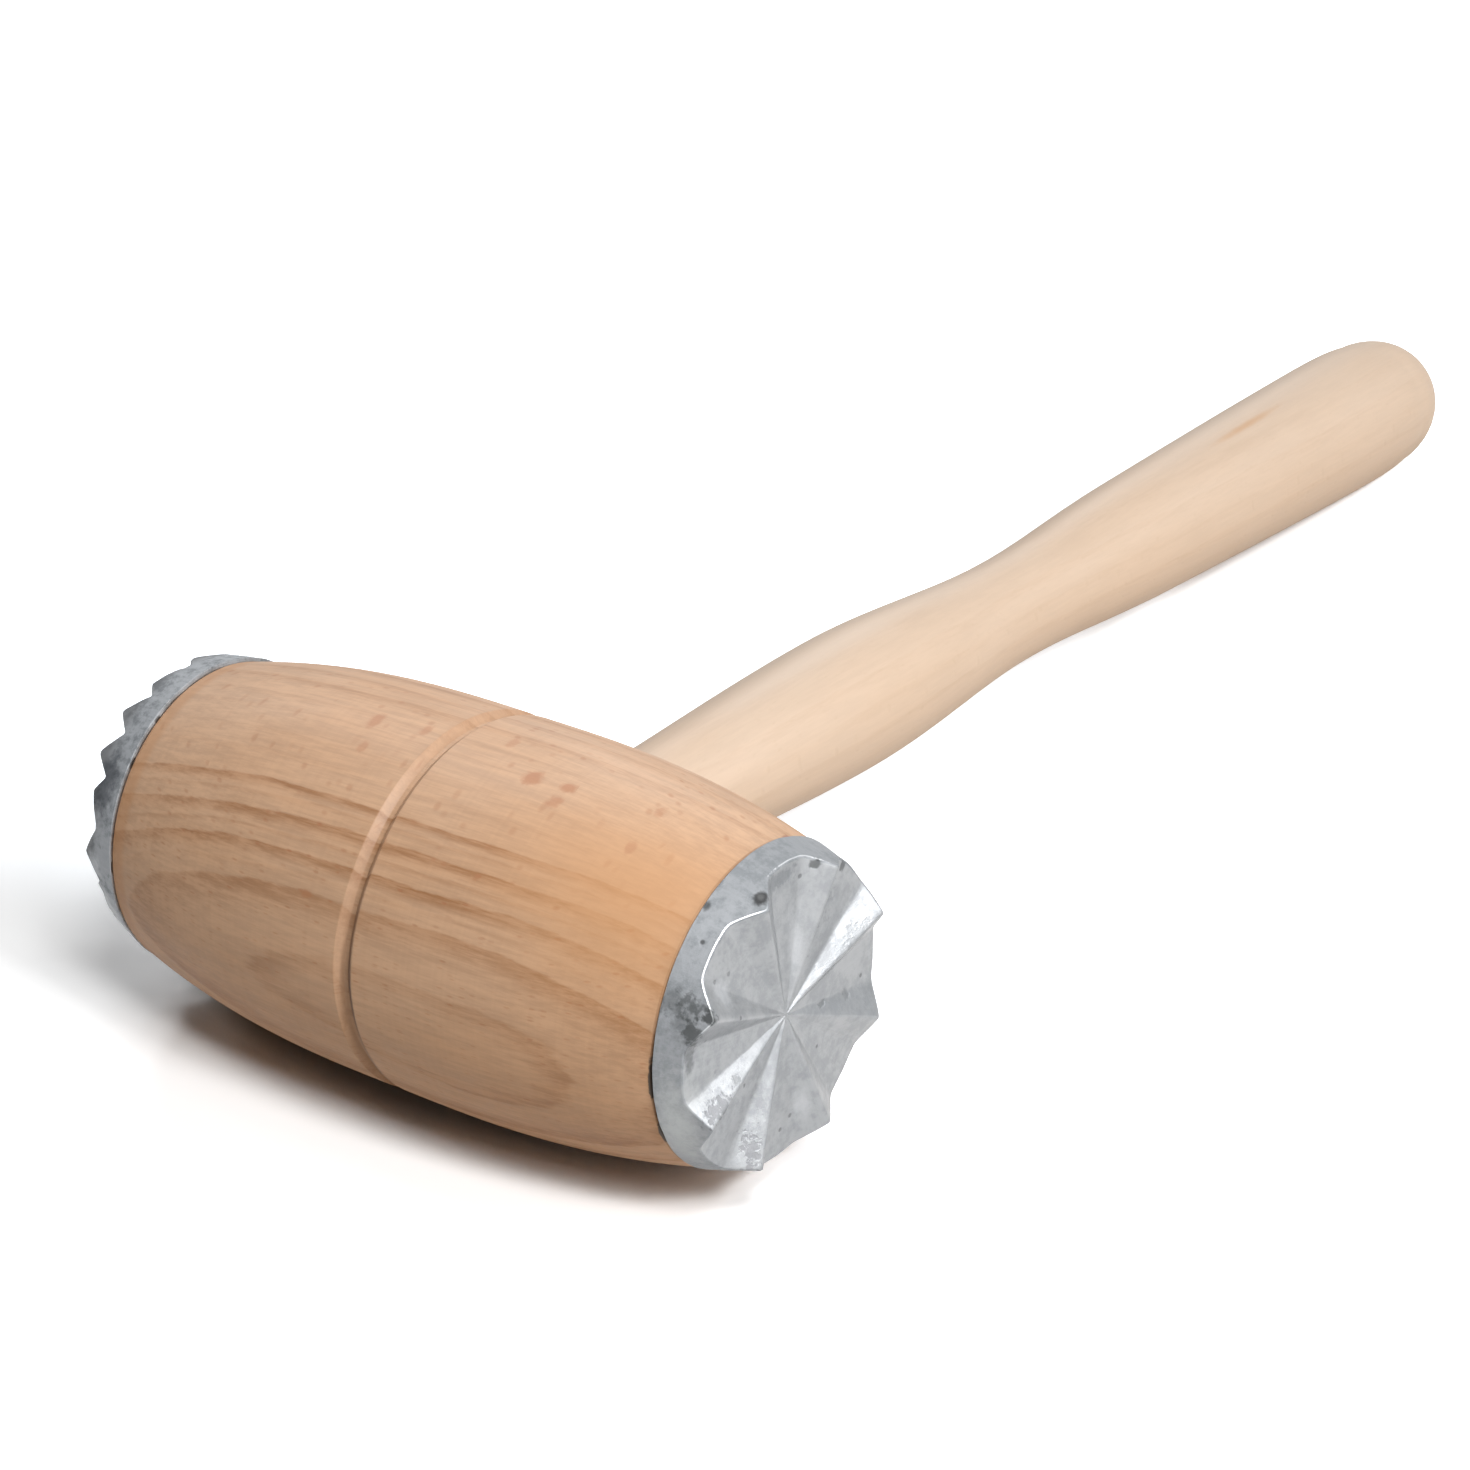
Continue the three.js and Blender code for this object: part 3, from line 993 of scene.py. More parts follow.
@dataclass(frozen=True)
class Spot:
    """A mark of its own colour at one place on a piece. Lengths are millimetres in the frame."""

    centre: Point
    reach: Point
    colour: Colour
    share: float = 0.6
    ragged: float = 0.35
    fineness: float = 900
    softness: float = 0.6

    def mask(self, board: Board, place: Socket) -> Socket:
        """Adds the spot to a material.

        Args:
            board: Board on the material.
            place: Place on the piece.

        Returns:
            The spot's mask.
        """
        inputs = {
            "Place": place,
            "Centre": [MM * part for part in self.centre],
            "Reach": [MM * part for part in self.reach],
            "Ragged": self.ragged,
            "Fineness": self.fineness,
            "Softness": self.softness,
        }
        mask = board.add("ShaderNodeGroup", inputs, node_tree=blot()).outputs["Mask"]
        return board.math("MULTIPLY", mask, self.share)


@dataclass(frozen=True)
class Ring:
    """One growth ring: distance of its outer edge from the pith, inward fade and darkness, in metres."""

    edge: float
    fade: float
    depth: float


@dataclass(frozen=True)
class Band:
    """A dark line round the barrel, by its place along X and its reach: painted shade in the groove and along
    the star cap's seam, and dirt by the tooth cap. Lengths are millimetres.

    Its strength changes from share to high_share between two heights above the table, and it drifts as the
    groove does. In the groove this makes the painted shade deeper lower down.
    """

    along: float
    reach: float
    colour: Colour
    share: float
    high_share: float | None = None
    low: float = 28
    high: float = 46
    drift: float = 0.0
    drift_heights: Span = (26, 46)
    core: float = 0.55

    def mask(self, board: Board, place: Socket) -> Socket:
        """Adds the band to a material.

        Args:
            board: Board on the material.
            place: Place on the piece.

        Returns:
            The band's mask.
        """
        parts = board.parts(place)
        low, high = self.drift_heights
        lean = board.ramp(parts[2], Step(low * MM, high * MM, self.drift * MM, 0))
        along = board.math("ADD", parts[0], lean)
        off = board.math("ABSOLUTE", board.math("SUBTRACT", along, self.along * MM))
        line = board.ramp(off, Step(self.core * self.reach * MM, self.reach * MM, 1, 0))
        top = self.share if self.high_share is None else self.high_share
        share = board.ramp(parts[2], Step(self.low * MM, self.high * MM, self.share, top), Easing.LINEAR)
        return board.math("MULTIPLY", line, share)


def new_material(name: str) -> tuple[bpy.types.Material, Board, bpy.types.Node]:
    """Starts a material with one Principled shader.

    Args:
        name: Name of the material.

    Returns:
        The material, a board on its nodes, and the shader.
    """
    material = bpy.data.materials.new(name)
    material.use_nodes = True
    return material, Board(material.node_tree), material.node_tree.nodes["Principled BSDF"]


@dataclass(frozen=True)
class Beech:
    """Turned and sanded beech, with its grain along a given way.

    Colours are linear and lengths are metres. The turns are the faint marks that the lathe left round the
    piece, and the reliefs say how far each part of the figure stands out.
    """

    name: str
    light: Colour
    warm: Colour
    line: Colour
    ray: Colour
    rings: tuple[Ring, ...]
    sway: float
    tremble: float
    warm_share: float
    fibre_share: float
    ray_share: float
    roughness: float
    vessel_share: float = 0.0
    turning: float = 0.0
    bands: tuple[Band, ...] = ()
    spots: tuple[Spot, ...] = ()
    ring_tone: Step = Step(0.3, 0.6, 0.6, 1)
    ring_fibres: Step = Step(0.36, 0.62, 1.25, 0.6)
    warm_tone: Span = (0.35, 0.68)
    fibre_tone: Span = (0.34, 0.66)
    fibre_lift: float = 0.4
    turns: Grain = Grain((1500, 12, 12), 2, 0.6)
    turn_tone: Span = (0.3, 0.7)
    sheen_swing: float = 0.14
    ray_relief: float = -0.5
    ring_relief: float = 0.25
    turn_relief: float = 8
    bump_strength: float = 0.1
    bump_depth: float = 0.3 * MM

    def ring_darkness(self, board: Board, figure: Sockets) -> Socket:
        """Darkness of all growth rings together, broken up by the wood's tone and fibres.

        Args:
            board: Board on the material.
            figure: What the wood's figure puts out.

        Returns:
            The darkness, from 0 to 1.
        """
        dark: Feed = 0.0
        for ring in self.rings:
            inputs = {"Radius": figure["Radius"], "Edge": ring.edge, "Fade": ring.fade, "Depth": ring.depth}
            one = board.add("ShaderNodeGroup", inputs, node_tree=growth_ring()).outputs["Dark"]
            dark = board.math("MAXIMUM", dark, one)
        dark = board.math("MULTIPLY", dark, board.ramp(figure["Tone"], self.ring_tone))
        return board.math("MULTIPLY", dark, board.ramp(figure["Fibres"], self.ring_fibres), clamp=True)

    def make(self, pith: Vector, grain: Vector) -> bpy.types.Material:
        """Builds the finish.

        Args:
            pith: A point on the line that the growth rings go round.
            grain: The way the fibres run.

        Returns:
            The material.
        """
        material, board, shader = new_material(self.name)
        place = board.add("ShaderNodeTexCoord").outputs["Object"]
        turn = Vector((1, 0, 0)).rotation_difference(grain).to_euler()
        inputs = {"Vector": place, "Location": pith, "Rotation": turn}
        mapped = board.add("ShaderNodeMapping", inputs, vector_type="TEXTURE").outputs[0]
        inputs = {"Place": mapped, "Sway": self.sway, "Tremble": self.tremble}
        figure = board.add("ShaderNodeGroup", inputs, node_tree=wood_figure()).outputs
        tone, fibres, rays = (figure[key] for key in ("Tone", "Fibres", "Rays"))
        dark = self.ring_darkness(board, figure)
        colour = board.mix(board.ramp(tone, Step(*self.warm_tone, 0, self.warm_share)), self.light, self.warm)
        colour = board.mix(dark, colour, self.line)
        swing = self.fibre_share
        lit = board.ramp(fibres, Step(*self.fibre_tone, 1 - swing, 1 + self.fibre_lift * swing))
        colour = board.shade(colour, lit)
        share = board.math("MULTIPLY_ADD", dark, self.vessel_share, self.ray_share)
        colour = board.mix(board.math("MULTIPLY", rays, share, clamp=True), colour, self.ray)
        turns = board.noise(place, self.turns)
        lathe_marks = Step(*self.turn_tone, 1 - self.turning, 1 + self.turning)
        colour = board.shade(colour, board.ramp(turns, lathe_marks))
        for mark in (*self.bands, *self.spots):
            colour = board.mix(mark.mask(board, place), colour, mark.colour)
        board.link(colour, shader.inputs["Base Color"])
        rough = board.math("MULTIPLY_ADD", fibres, self.sheen_swing, self.roughness - self.sheen_swing / 2)
        board.link(rough, shader.inputs["Roughness"])
        relief = board.math("MULTIPLY_ADD", rays, self.ray_relief, fibres)
        relief = board.math("MULTIPLY_ADD", dark, self.ring_relief, relief)
        relief = board.math("MULTIPLY_ADD", turns, self.turn_relief * self.turning, relief)
        inputs = {"Height": relief, "Strength": self.bump_strength, "Distance": self.bump_depth}
        board.link(board.add("ShaderNodeBump", inputs).outputs[0], shader.inputs["Normal"])
        return material


@dataclass(frozen=True)
class CastAluminium:
    """Sand-cast aluminium: a dull mottled skirt, a struck face with faint streaks, small pores and stains.

    Colours are linear. Ramps on facing run from 0, across the axis, to 1, along it.
    """

    name: str
    bright: Colour = (0.4, 0.408, 0.418)
    dull: Colour = (0.33, 0.34, 0.352)
    tarnish: Colour = (0.27, 0.283, 0.294)
    pore: Colour = (0.12, 0.12, 0.12)
    worn_edge: Colour = (0.6, 0.61, 0.62)
    face_roughness: float = 0.38
    skirt_roughness: float = 0.74
    rim_darkening: float = 0.0
    spots: tuple[Spot, ...] = ()
    wear: tuple[Spot, ...] = ()
    skirt_draft: float = 0.3
    skirt_edge: Step = Step(0.08 * MM, 0.24 * MM, 1, 0)
    rim_heights: Span = (2.8 * MM, 6 * MM)
    mottle: Grain = Grain(620, 5, 0.72)
    cloud: Grain = Grain(150)
    cloud_share: float = 0.35
    dull_tone: Step = Step(0.42, 0.6)
    tarnish_tone: Step = Step(0.44, 0.6)
    streaks: Grain = Grain(48, 3, 0.7)
    streak_stretch: float = 0.12
    streak_tone: Step = Step(0.35, 0.7, 0.97, 1.02)
    edge_facing: Step = Step(0.36, 0.48)
    flat_facing: Step = Step(0.72, 0.79, 1, 0)
    pore_cells: float = 520
    pore_size: Step = Step(0.1, 0.24, 1, 0)
    pore_choice: Step = Step(0.9, 0.96)
    pore_share: float = 0.55
    mottle_sheen: float = 0.2
    edge_sheen: float = -0.3
    stain_sheen: float = 0.25
    streak_relief: float = 0.2
    bump_strength: float = 0.22
    bump_depth: float = 0.4 * MM

    def worn_edges(self, board: Board, place: Socket, normal: Socket) -> Socket:
        """Mask of the rounded edges inside the worn places.

        Args:
            board: Board on the material.
            place: Place on the cap.
            normal: Way that the surface faces.

        Returns:
            The mask.
        """
        facing = board.math("ABSOLUTE", board.parts(normal)[0])
        rounded = board.ramp(facing, self.edge_facing)
        edge = board.math("MULTIPLY", rounded, board.ramp(facing, self.flat_facing))
        rubbed: Feed = 0.0
        for spot in self.wear:
            rubbed = board.math("MAXIMUM", rubbed, spot.mask(board, place))
        return board.math("MULTIPLY", edge, rubbed)

    def make(self, middle: Vector, seat: float, rim: float) -> bpy.types.Material:
        """Builds the finish.

        Args:
            middle: A point on the cap's axis, which runs along X.
            seat: Distance of the seat from that point.
            rim: Radius of the skirt at the seat.

        Returns:
            The material.
        """
        material, board, shader = new_material(self.name)
        coordinates = board.add("ShaderNodeTexCoord").outputs
        place = coordinates["Object"]
        off = board.vector("SUBTRACT", place, tuple(middle))
        parts = board.parts(off)
        far = board.vector("LENGTH", board.vector("MULTIPLY", off, (0, 1, 1)))
        rise = board.math("SUBTRACT", board.math("ABSOLUTE", parts[0]), seat)
        inset = board.math("SUBTRACT", board.math("MULTIPLY_ADD", rise, -self.skirt_draft, rim), far)
        skirt = board.ramp(inset, self.skirt_edge)
        mottle = board.noise(place, self.mottle)
        share = board.math("MULTIPLY", mottle, 1 - self.cloud_share)
        share = board.math("MULTIPLY_ADD", board.noise(place, self.cloud), self.cloud_share, share)
        colour = board.mix(board.ramp(share, self.dull_tone), self.bright, self.dull)
        tarnished = board.mix(board.ramp(share, self.tarnish_tone), self.dull, self.tarnish)
        colour = board.mix(skirt, colour, tarnished)
        # The skirt grows darker towards the face.
        rim_darkening_mask = board.math("MULTIPLY", board.ramp(rise, Step(*self.rim_heights, 0, self.rim_darkening)), skirt)
        colour = board.mix(rim_darkening_mask, colour, self.pore)
        angle = board.math("ARCTAN2", parts[1], parts[2])
        outward = board.math("MULTIPLY", far, self.streak_stretch)
        polar = board.add("ShaderNodeCombineXYZ", {0: parts[0], 1: outward, 2: angle}).outputs[0]
        streaks = board.noise(polar, self.streaks)
        colour = board.shade(colour, board.ramp(streaks, self.streak_tone))
        edge = self.worn_edges(board, place, coordinates["Normal"])
        colour = board.mix(edge, colour, self.worn_edge)
        stain = board.flecks(place, self.pore_cells, self.pore_size, self.pore_choice)
        colour = board.mix(board.math("MULTIPLY", stain, self.pore_share), colour, self.pore)
        for spot in self.spots:
            mask = spot.mask(board, place)
            colour = board.mix(mask, colour, spot.colour)
            stain = board.math("MAXIMUM", stain, mask)
        board.link(colour, shader.inputs["Base Color"])
        shader.inputs["Metallic"].default_value = 1.0
        level = self.face_roughness - self.mottle_sheen / 2
        rough = board.math("MULTIPLY_ADD", mottle, self.mottle_sheen, level)
        rough = board.math("MULTIPLY_ADD", skirt, self.skirt_roughness - self.face_roughness, rough)
        rough = board.math("MULTIPLY_ADD", edge, self.edge_sheen, rough)
        rough = board.math("MULTIPLY_ADD", stain, self.stain_sheen, rough)
        board.link(rough, shader.inputs["Roughness"])
        relief = board.math("MULTIPLY_ADD", streaks, self.streak_relief, mottle)
        relief = board.math("SUBTRACT", relief, stain)
        inputs = {"Height": relief, "Strength": self.bump_strength, "Distance": self.bump_depth}
        board.link(board.add("ShaderNodeBump", inputs).outputs[0], shader.inputs["Normal"])
        return material


@dataclass(frozen=True)
class Sweep:
    """The pale table: white to the camera and to mirrors, darker and warmer for the light it gives back.

    The camera sees painted shadow, a darker core, under the head, painted light that makes the table brighter
    beyond the head's edge, plain white far out, and nothing from below.
    """

    half_size: float = 3.0
    cuts: int = 4
    seen_near: float = 1.0
    # Painted light: beyond the head's edge the camera sees the table brighter, which pales the shadows there.
    painted_light_far: Colour = (1.5, 1.56, 1.62)
    head_edge: Step = Step(-137 * MM, -92 * MM)
    mirrored: float = 0.85
    giving: Colour = (0.55, 0.455, 0.345)
    # Painted shadow: place, reach, edge and darkness of the dark core that the camera sees under the head.
    core: Point = (-0.008, -0.12, 0.0)
    painted_shadow_reach: Point = (0.056, 0.0235, 1.0)
    painted_shadow_edge: Span = (0.75, 1.02)
    painted_shadow_share: float = 0.6
    fade: Step = Step(0.32, 0.6)

    def finish(self) -> bpy.types.Material:
        """Makes the table's finish: one look for the camera and another for the light that it gives back.

        Returns:
            The material.
        """
        material = bpy.data.materials.new("table white")
        material.use_nodes = True
        material.node_tree.nodes.clear()
        board = Board(material.node_tree)
        place = board.add("ShaderNodeTexCoord").outputs["Object"]
        # Painted light: brighter to the camera beyond the head's edge.
        far = board.ramp(board.parts(place)[1], self.head_edge)
        seen = board.mix(far, (self.seen_near,) * 3, self.painted_light_far)
        # Painted shadow: a dark core under the head, seen by the camera.
        under = board.vector("DIVIDE", board.vector("SUBTRACT", place, self.core), self.painted_shadow_reach)
        dark = board.ramp(board.vector("LENGTH", under), Step(*self.painted_shadow_edge, self.painted_shadow_share, 0))
        seen = board.mix(dark, seen, (0, 0, 0))
        rays = board.add("ShaderNodeLightPath").outputs
        colour = board.mix(rays["Is Glossy Ray"], self.giving, (self.mirrored,) * 3)
        shown = board.math("MAXIMUM", rays["Is Camera Ray"], rays["Is Transmission Ray"])
        surface = board.add("ShaderNodeBsdfDiffuse", {"Color": board.mix(shown, colour, seen)})
        off = board.vector("LENGTH", board.vector("MULTIPLY", place, (1, 1, 0)))
        white = board.add("ShaderNodeEmission", {"Color": (1, 1, 1, 1), "Strength": 1})
        below = board.add("ShaderNodeNewGeometry").outputs["Backfacing"]
        clear = board.add("ShaderNodeBsdfTransparent")
        for share, cover in ((board.ramp(off, self.fade), white), (below, clear)):
            share = board.math("MULTIPLY", shown, share)
            inputs = {0: share, 1: surface.outputs[0], 2: cover.outputs[0]}
            surface = board.add("ShaderNodeMixShader", inputs)
        board.add("ShaderNodeOutputMaterial", {"Surface": surface.outputs[0]})
        return material

    def build(self) -> bpy.types.Object:
        """Makes the table top.

        Returns:
            The table.
        """
        deselect()
        bpy.ops.mesh.primitive_plane_add(size=2 * self.half_size, location=(0, 0, 0))
        floor = bpy.context.active_object
        floor.name = "table"
        bpy.ops.object.mode_set(mode="EDIT")
        bpy.ops.mesh.subdivide(number_cuts=self.cuts)
        bpy.ops.object.mode_set(mode="OBJECT")
        floor.data.materials.append(self.finish())
        return floor


@dataclass(frozen=True)
class Lamp:
    """A soft box aimed at the mallet, placed by its compass angle from +X and its height, in degrees."""

    name: str
    compass: float
    height: float
    power: float
    distance: float = 1.2
    size: float = 0.2

    def build(self, target: Vector) -> None:
        """Hangs the lamp and aims it.

        Args:
            target: The place that it shines at.
        """
        light = bpy.data.lights.new(f"lamp {self.name}", "AREA")
        light.shape = "SQUARE"
        light.size = self.size
        light.energy = self.power
        lamp = bpy.data.objects.new(light.name, light)
        bpy.context.scene.collection.objects.link(lamp)
        turn, rise = math.radians(self.compass), math.radians(self.height)
        way = Vector((math.cos(turn) * math.cos(rise), math.sin(turn) * math.cos(rise), math.sin(rise)))
        lamp.location = target + way * self.distance
        lamp.rotation_euler = way.to_track_quat("Z", "Y").to_euler()


@dataclass(frozen=True)
class Studio:
    """Table, lamps, sky and camera."""

    aim: Vector = field(default_factory=lambda: Vector((0, -80, 20)) * MM)
    sky: Colour = (0.02, 0.02, 0.02)
    mirrored_sky: Colour = (0.6, 0.62, 0.64)
    camera_at: Vector = field(default_factory=lambda: Vector((300.4, -475.68, 286.04)) * MM)
    camera_back: Vector = field(default_factory=lambda: Vector((0.52668, -0.71953, 0.45264)))
    camera_right: Vector = field(default_factory=lambda: Vector((0.81128, 0.58446, -0.01492)))
    clip_start: float = 50 * MM
    focal_pixels: float = 3800
    frame_pixels: float = 1470
    sensor: float = 36
    lamps: tuple[Lamp, ...] = (
        Lamp("key", 345, 40, 7.5),
        Lamp("key front", 330, 40, 2.7),
        Lamp("key high", 330, 55, 2.6),
        Lamp("crown", 315, 55, 3.5),
        Lamp("zenith", 0, 90, 0.8),
        Lamp("side", 18, 24, 3.1, size=0.4),
        Lamp("side back", 52, 30, 1.9),
        Lamp("side low", 347, 8, 1.0),
        Lamp("rear", 150, 45, 2.3),
        Lamp("rear high", 135, 65, 0.9),
        Lamp("rear low", 120, 25, 1.5),
        Lamp("left", 180, 30, 0.6),
        Lamp("left high", 225, 65, 0.95),
    )

    def build(self) -> None:
        """Lights the mallet and looks at it as the photograph does."""
        Sweep().build()
        for lamp in self.lamps:
            lamp.build(self.aim)
        self.light_sky()
        self.place_camera()
        bpy.context.scene.view_settings.view_transform = "Standard"

    def light_sky(self) -> None:
        """Dim sky for the light, grey for mirrors and white for the camera."""
        world = bpy.data.worlds.new("studio sky")
        world.use_nodes = True
        bpy.context.scene.world = world
        board = Board(world.node_tree)
        rays = board.add("ShaderNodeLightPath").outputs
        colour = board.mix(rays["Is Glossy Ray"], self.sky, self.mirrored_sky)
        direct = board.math("MAXIMUM", rays["Is Camera Ray"], rays["Is Transmission Ray"])
        back = world.node_tree.nodes["Background"]
        board.link(board.mix(direct, colour, (1, 1, 1)), back.inputs["Color"])

    def place_camera(self) -> None:
        """Sets the camera by its place and the way of its picture."""
        camera = bpy.data.objects.new("camera", bpy.data.cameras.new("camera"))
        bpy.context.scene.collection.objects.link(camera)
        camera.data.sensor_width = self.sensor
        camera.data.lens = self.sensor * self.focal_pixels / self.frame_pixels
        camera.data.clip_start = self.clip_start
        camera.location = self.camera_at
        right, back = self.camera_right.normalized(), self.camera_back.normalized()
        turn = Matrix((right, back.cross(right), back)).transposed()
        camera.rotation_euler = turn.to_euler()
        bpy.context.scene.camera = camera


def spots(colour: Colour, *rows: tuple) -> tuple[Spot, ...]:
    """Spots of one colour, from rows of centre, reach and whatever else a spot takes."""
    return tuple(Spot(centre, reach, colour, *rest) for centre, reach, *rest in rows)


def rings(pith: float, *rows: Point) -> tuple[Ring, ...]:
    """Growth rings from rows of distance past the piece's axis, fade and darkness, lengths in millimetres."""
    return tuple(Ring(pith + past * MM, fade * MM, dark) for past, fade, dark in rows)


# After its colour, a spot has its share, its raggedness, the fineness of its edge in cells per metre and its
# softness. In a row of spots these follow the reach.
REDDISH = (0.36, 0.15, 0.068)
# Painted shade for the narrow gap at the star cap's seam.
SEAM_GAP_SHADE = (0.035, 0.024, 0.016)
CAST_SHADE = (0.1, 0.105, 0.105)
BARREL_SPOTS = (
    Spot((41, -142, 47), (33, 20, 22), (0.5, 0.26, 0.115), 0.7, 0.0, 100, 1.0),
    *spots(
        REDDISH,
        ((15.8, -132.2, 54.2), (1.9, 2.0, 1.3), 0.75, 0.5),
        ((21.2, -131.6, 54.0), (1.5, 1.3, 0.9), 0.7, 0.5),
        ((21.2, -134.6, 53.3), (1.3, 1.8, 0.9), 0.55, 0.6),
        ((-12.2, -131.5, 54.4), (1.3, 2.4, 1.2), 0.6, 0.5),
        ((-10.3, -136.5, 53.1), (1.0, 1.8, 0.9), 0.45, 0.6),
        ((-4.2, -130.1, 54.7), (1.0, 1.9, 0.9), 0.5, 0.6),
        ((8.2, -126.9, 54.9), (1.0, 1.7, 0.9), 0.45, 0.6),
        ((34.0, -128.6, 52.6), (1.0, 1.7, 0.9), 0.4, 0.6),
        ((34.7, -135.9, 51.2), (0.9, 1.6, 1.2), 0.4, 0.6),
        ((-8.0, -151.9, 38.3), (1.4, 0.9, 0.8), 0.5, 0.5),
    ),
    Spot((47.2, -118.7, 48.8), (0.6, 1.6, 1.0), (0.2, 0.06, 0.04), 0.7, 0.4),
    # Painted shade low down in the groove, at the front.
    Spot((0.2, -150, 11), (1.4, 16, 15), (0.09, 0.046, 0.024), 0.6, 0.1, 300, 0.6),
    # Painted shade in the gap at the star cap's seam, low at the front.
    Spot((47.35, -149.3, 27.1), (0.55, 1.2, 4.9), SEAM_GAP_SHADE, 0.95, 0.5, 700, 0.35),
    Spot((47.35, -147.3, 18.0), (0.55, 1.5, 2.8), SEAM_GAP_SHADE, 0.95, 0.5, 700, 0.35),
)
# Bands, in order: painted shade on the groove's wall towards the star cap, in two bands, deeper lower down;
# painted shade on the groove's floor and on its wall towards the tooth cap; painted shade along the star
# cap's seam; a band of dirt by the tooth cap.
BARREL_BANDS = (
    Band(0.74, 0.5, (0.04, 0.02, 0.01), 0.9, 0.05, drift=0.7),
    Band(0.95, 0.85, (0.05, 0.023, 0.011), 0.9, 0.0, 25, 37, 0.7),
    Band(0.0, 1.0, (0.26, 0.14, 0.07), 0.45, 0.1, drift=0.7),
    Band(-0.95, 0.8, (0.34, 0.2, 0.12), 0.45, 0.35, drift=0.7),
    # Painted shade along the star cap's seam.
    Band(47.5, 0.5, (0.16, 0.08, 0.04), 0.5),
    Band(-47.4, 3.4, (0.42, 0.2, 0.08), 0.45),
)
CAST_BRIGHT = (0.62, 0.63, 0.645)
STAR_WEAR = (
    Spot((51.5, -141.2, 42.2), (8, 11, 11), CAST_BRIGHT, 1.0, 0.0, 100, 0.3),
    Spot((51.5, -123.5, 49), (6, 5.5, 4), CAST_BRIGHT, 0.8, 1.2, 1500, 0.4),
)
TOOTH_SPOTS = (
    Spot((-51, -145, 39), (3.2, 5, 7.5), (0.07, 0.075, 0.085), 0.7, 0.6, 600, 0.7),
    Spot((-52.2, -148.3, 27.3), (2.4, 2.6, 3.2), CAST_BRIGHT, 0.5, 0.4, 600, 0.8),
)
STAR_SPOTS = (
    Spot((50.0, -147.5, 19.5), (4, 8, 13), (0.56, 0.57, 0.56), 0.6, 0.4, 500, 0.8),
    Spot((52.2, -141, 36.5), (2, 3.2, 4), CAST_BRIGHT, 0.5, 0.5, 700, 0.8),
    Spot((52.7, -123.7, 12), (1.6, 2.2, 3.6), CAST_BRIGHT, 0.4, 0.5, 700, 0.8),
    Spot((52.7, -124.6, 38), (2, 1.8, 7.5), CAST_BRIGHT, 0.3, 0.4, 700, 0.7),
    Spot((52.6, -117.8, 32.3), (1.6, 3, 3.5), (0.3, 0.305, 0.315), 0.4, 0.8, 900, 0.7),
    Spot((53.1, -132.8, 47.9), (1.3, 1.6, 1.35), (0.08, 0.08, 0.08), 0.85, 0.4, 900, 0.6),
    Spot((53.0, -132.7, 48.1), (0.7, 0.7, 0.6), (0.3, 0.3, 0.3), 0.4, 0.6, 900, 0.9),
    Spot((54.2, -143.8, 22.4), (1.6, 3.2, 1.8), (0.17, 0.17, 0.18), 0.55, 1.8, 1300, 0.5),
    Spot((53.7, -136.3, 12.6), (1.6, 1.6, 4.5), (0.17, 0.17, 0.18), 0.5, 1.8, 1300, 0.5),
    Spot((52.9, -133.2, 18.2), (1.2, 1.3, 3.0), (0.2, 0.2, 0.21), 0.2, 1.6, 1300, 0.6),
    Spot((54.0, -112.0, 32.5), (1.4, 3.6, 2.6), (0.25, 0.26, 0.27), 0.4, 1.6, 1100, 0.6),
    Spot((52.0, -117.5, 41.5), (1.4, 3.4, 4.5), (0.24, 0.25, 0.26), 0.4, 1.6, 1100, 0.6),
    Spot((51.7, -127.4, 47.7), (1.3, 5.2, 1.4), (0.2, 0.21, 0.22), 0.6, 0.8, 900, 0.5),
    *spots(
        CAST_SHADE,
        ((48.0, -137.6, 47.5), (0.7, 1.0, 1.0), 0.7, 0.4, 900, 0.7),
        ((51.6, -146.0, 37.6), (3.6, 2.4, 2.2), 0.6, 1.4, 900, 0.8),
        ((54.1, -145.5, 36.9), (1.6, 1.6, 1.2), 0.8, 0.9, 900, 0.6),
        ((52.2, -146.8, 34.6), (1.6, 1.6, 3.4), 0.75, 1.2, 900, 0.7),
        ((50.6, -147.0, 36.0), (2.6, 2.0, 5.5), 0.35, 1.2, 700, 1.0),
        ((51.8, -147.0, 30.8), (0.8, 1.2, 3.4), 0.5, 0.8, 600, 0.7),
        ((52.9, -120.4, 47.3), (0.9, 1.3, 0.8), 0.8, 0.6, 900, 0.5),
        ((51.8, -112.4, 43.0), (0.9, 1.0, 0.9), 0.7, 0.6, 900, 0.5),
        ((52.5, -118.4, 25.1), (0.8, 1.5, 0.5), 0.45, 0.8, 1200, 0.6),
        ((52.4, -112.6, 23.6), (0.9, 0.9, 1.1), 0.4, 0.8, 1200, 0.6),
        ((53.3, -139.0, 24.2), (0.8, 0.9, 0.9), 0.4, 0.8, 1500, 0.5),
        ((52.3, -133.6, 22.0), (0.8, 1.6, 2.2), 0.12, 0.9, 900, 0.7),
        ((48.8, -146.4, 38.2), (1.6, 2.4, 3.4), 0.32, 1.2, 700, 0.9),
    ),
)
HANDLE_STREAKS = (
    Spot((3.2, 86, 27), (1.2, 17, 1.6), (0.45, 0.25, 0.12), 0.6, 0.2, 300, 0.9),
)

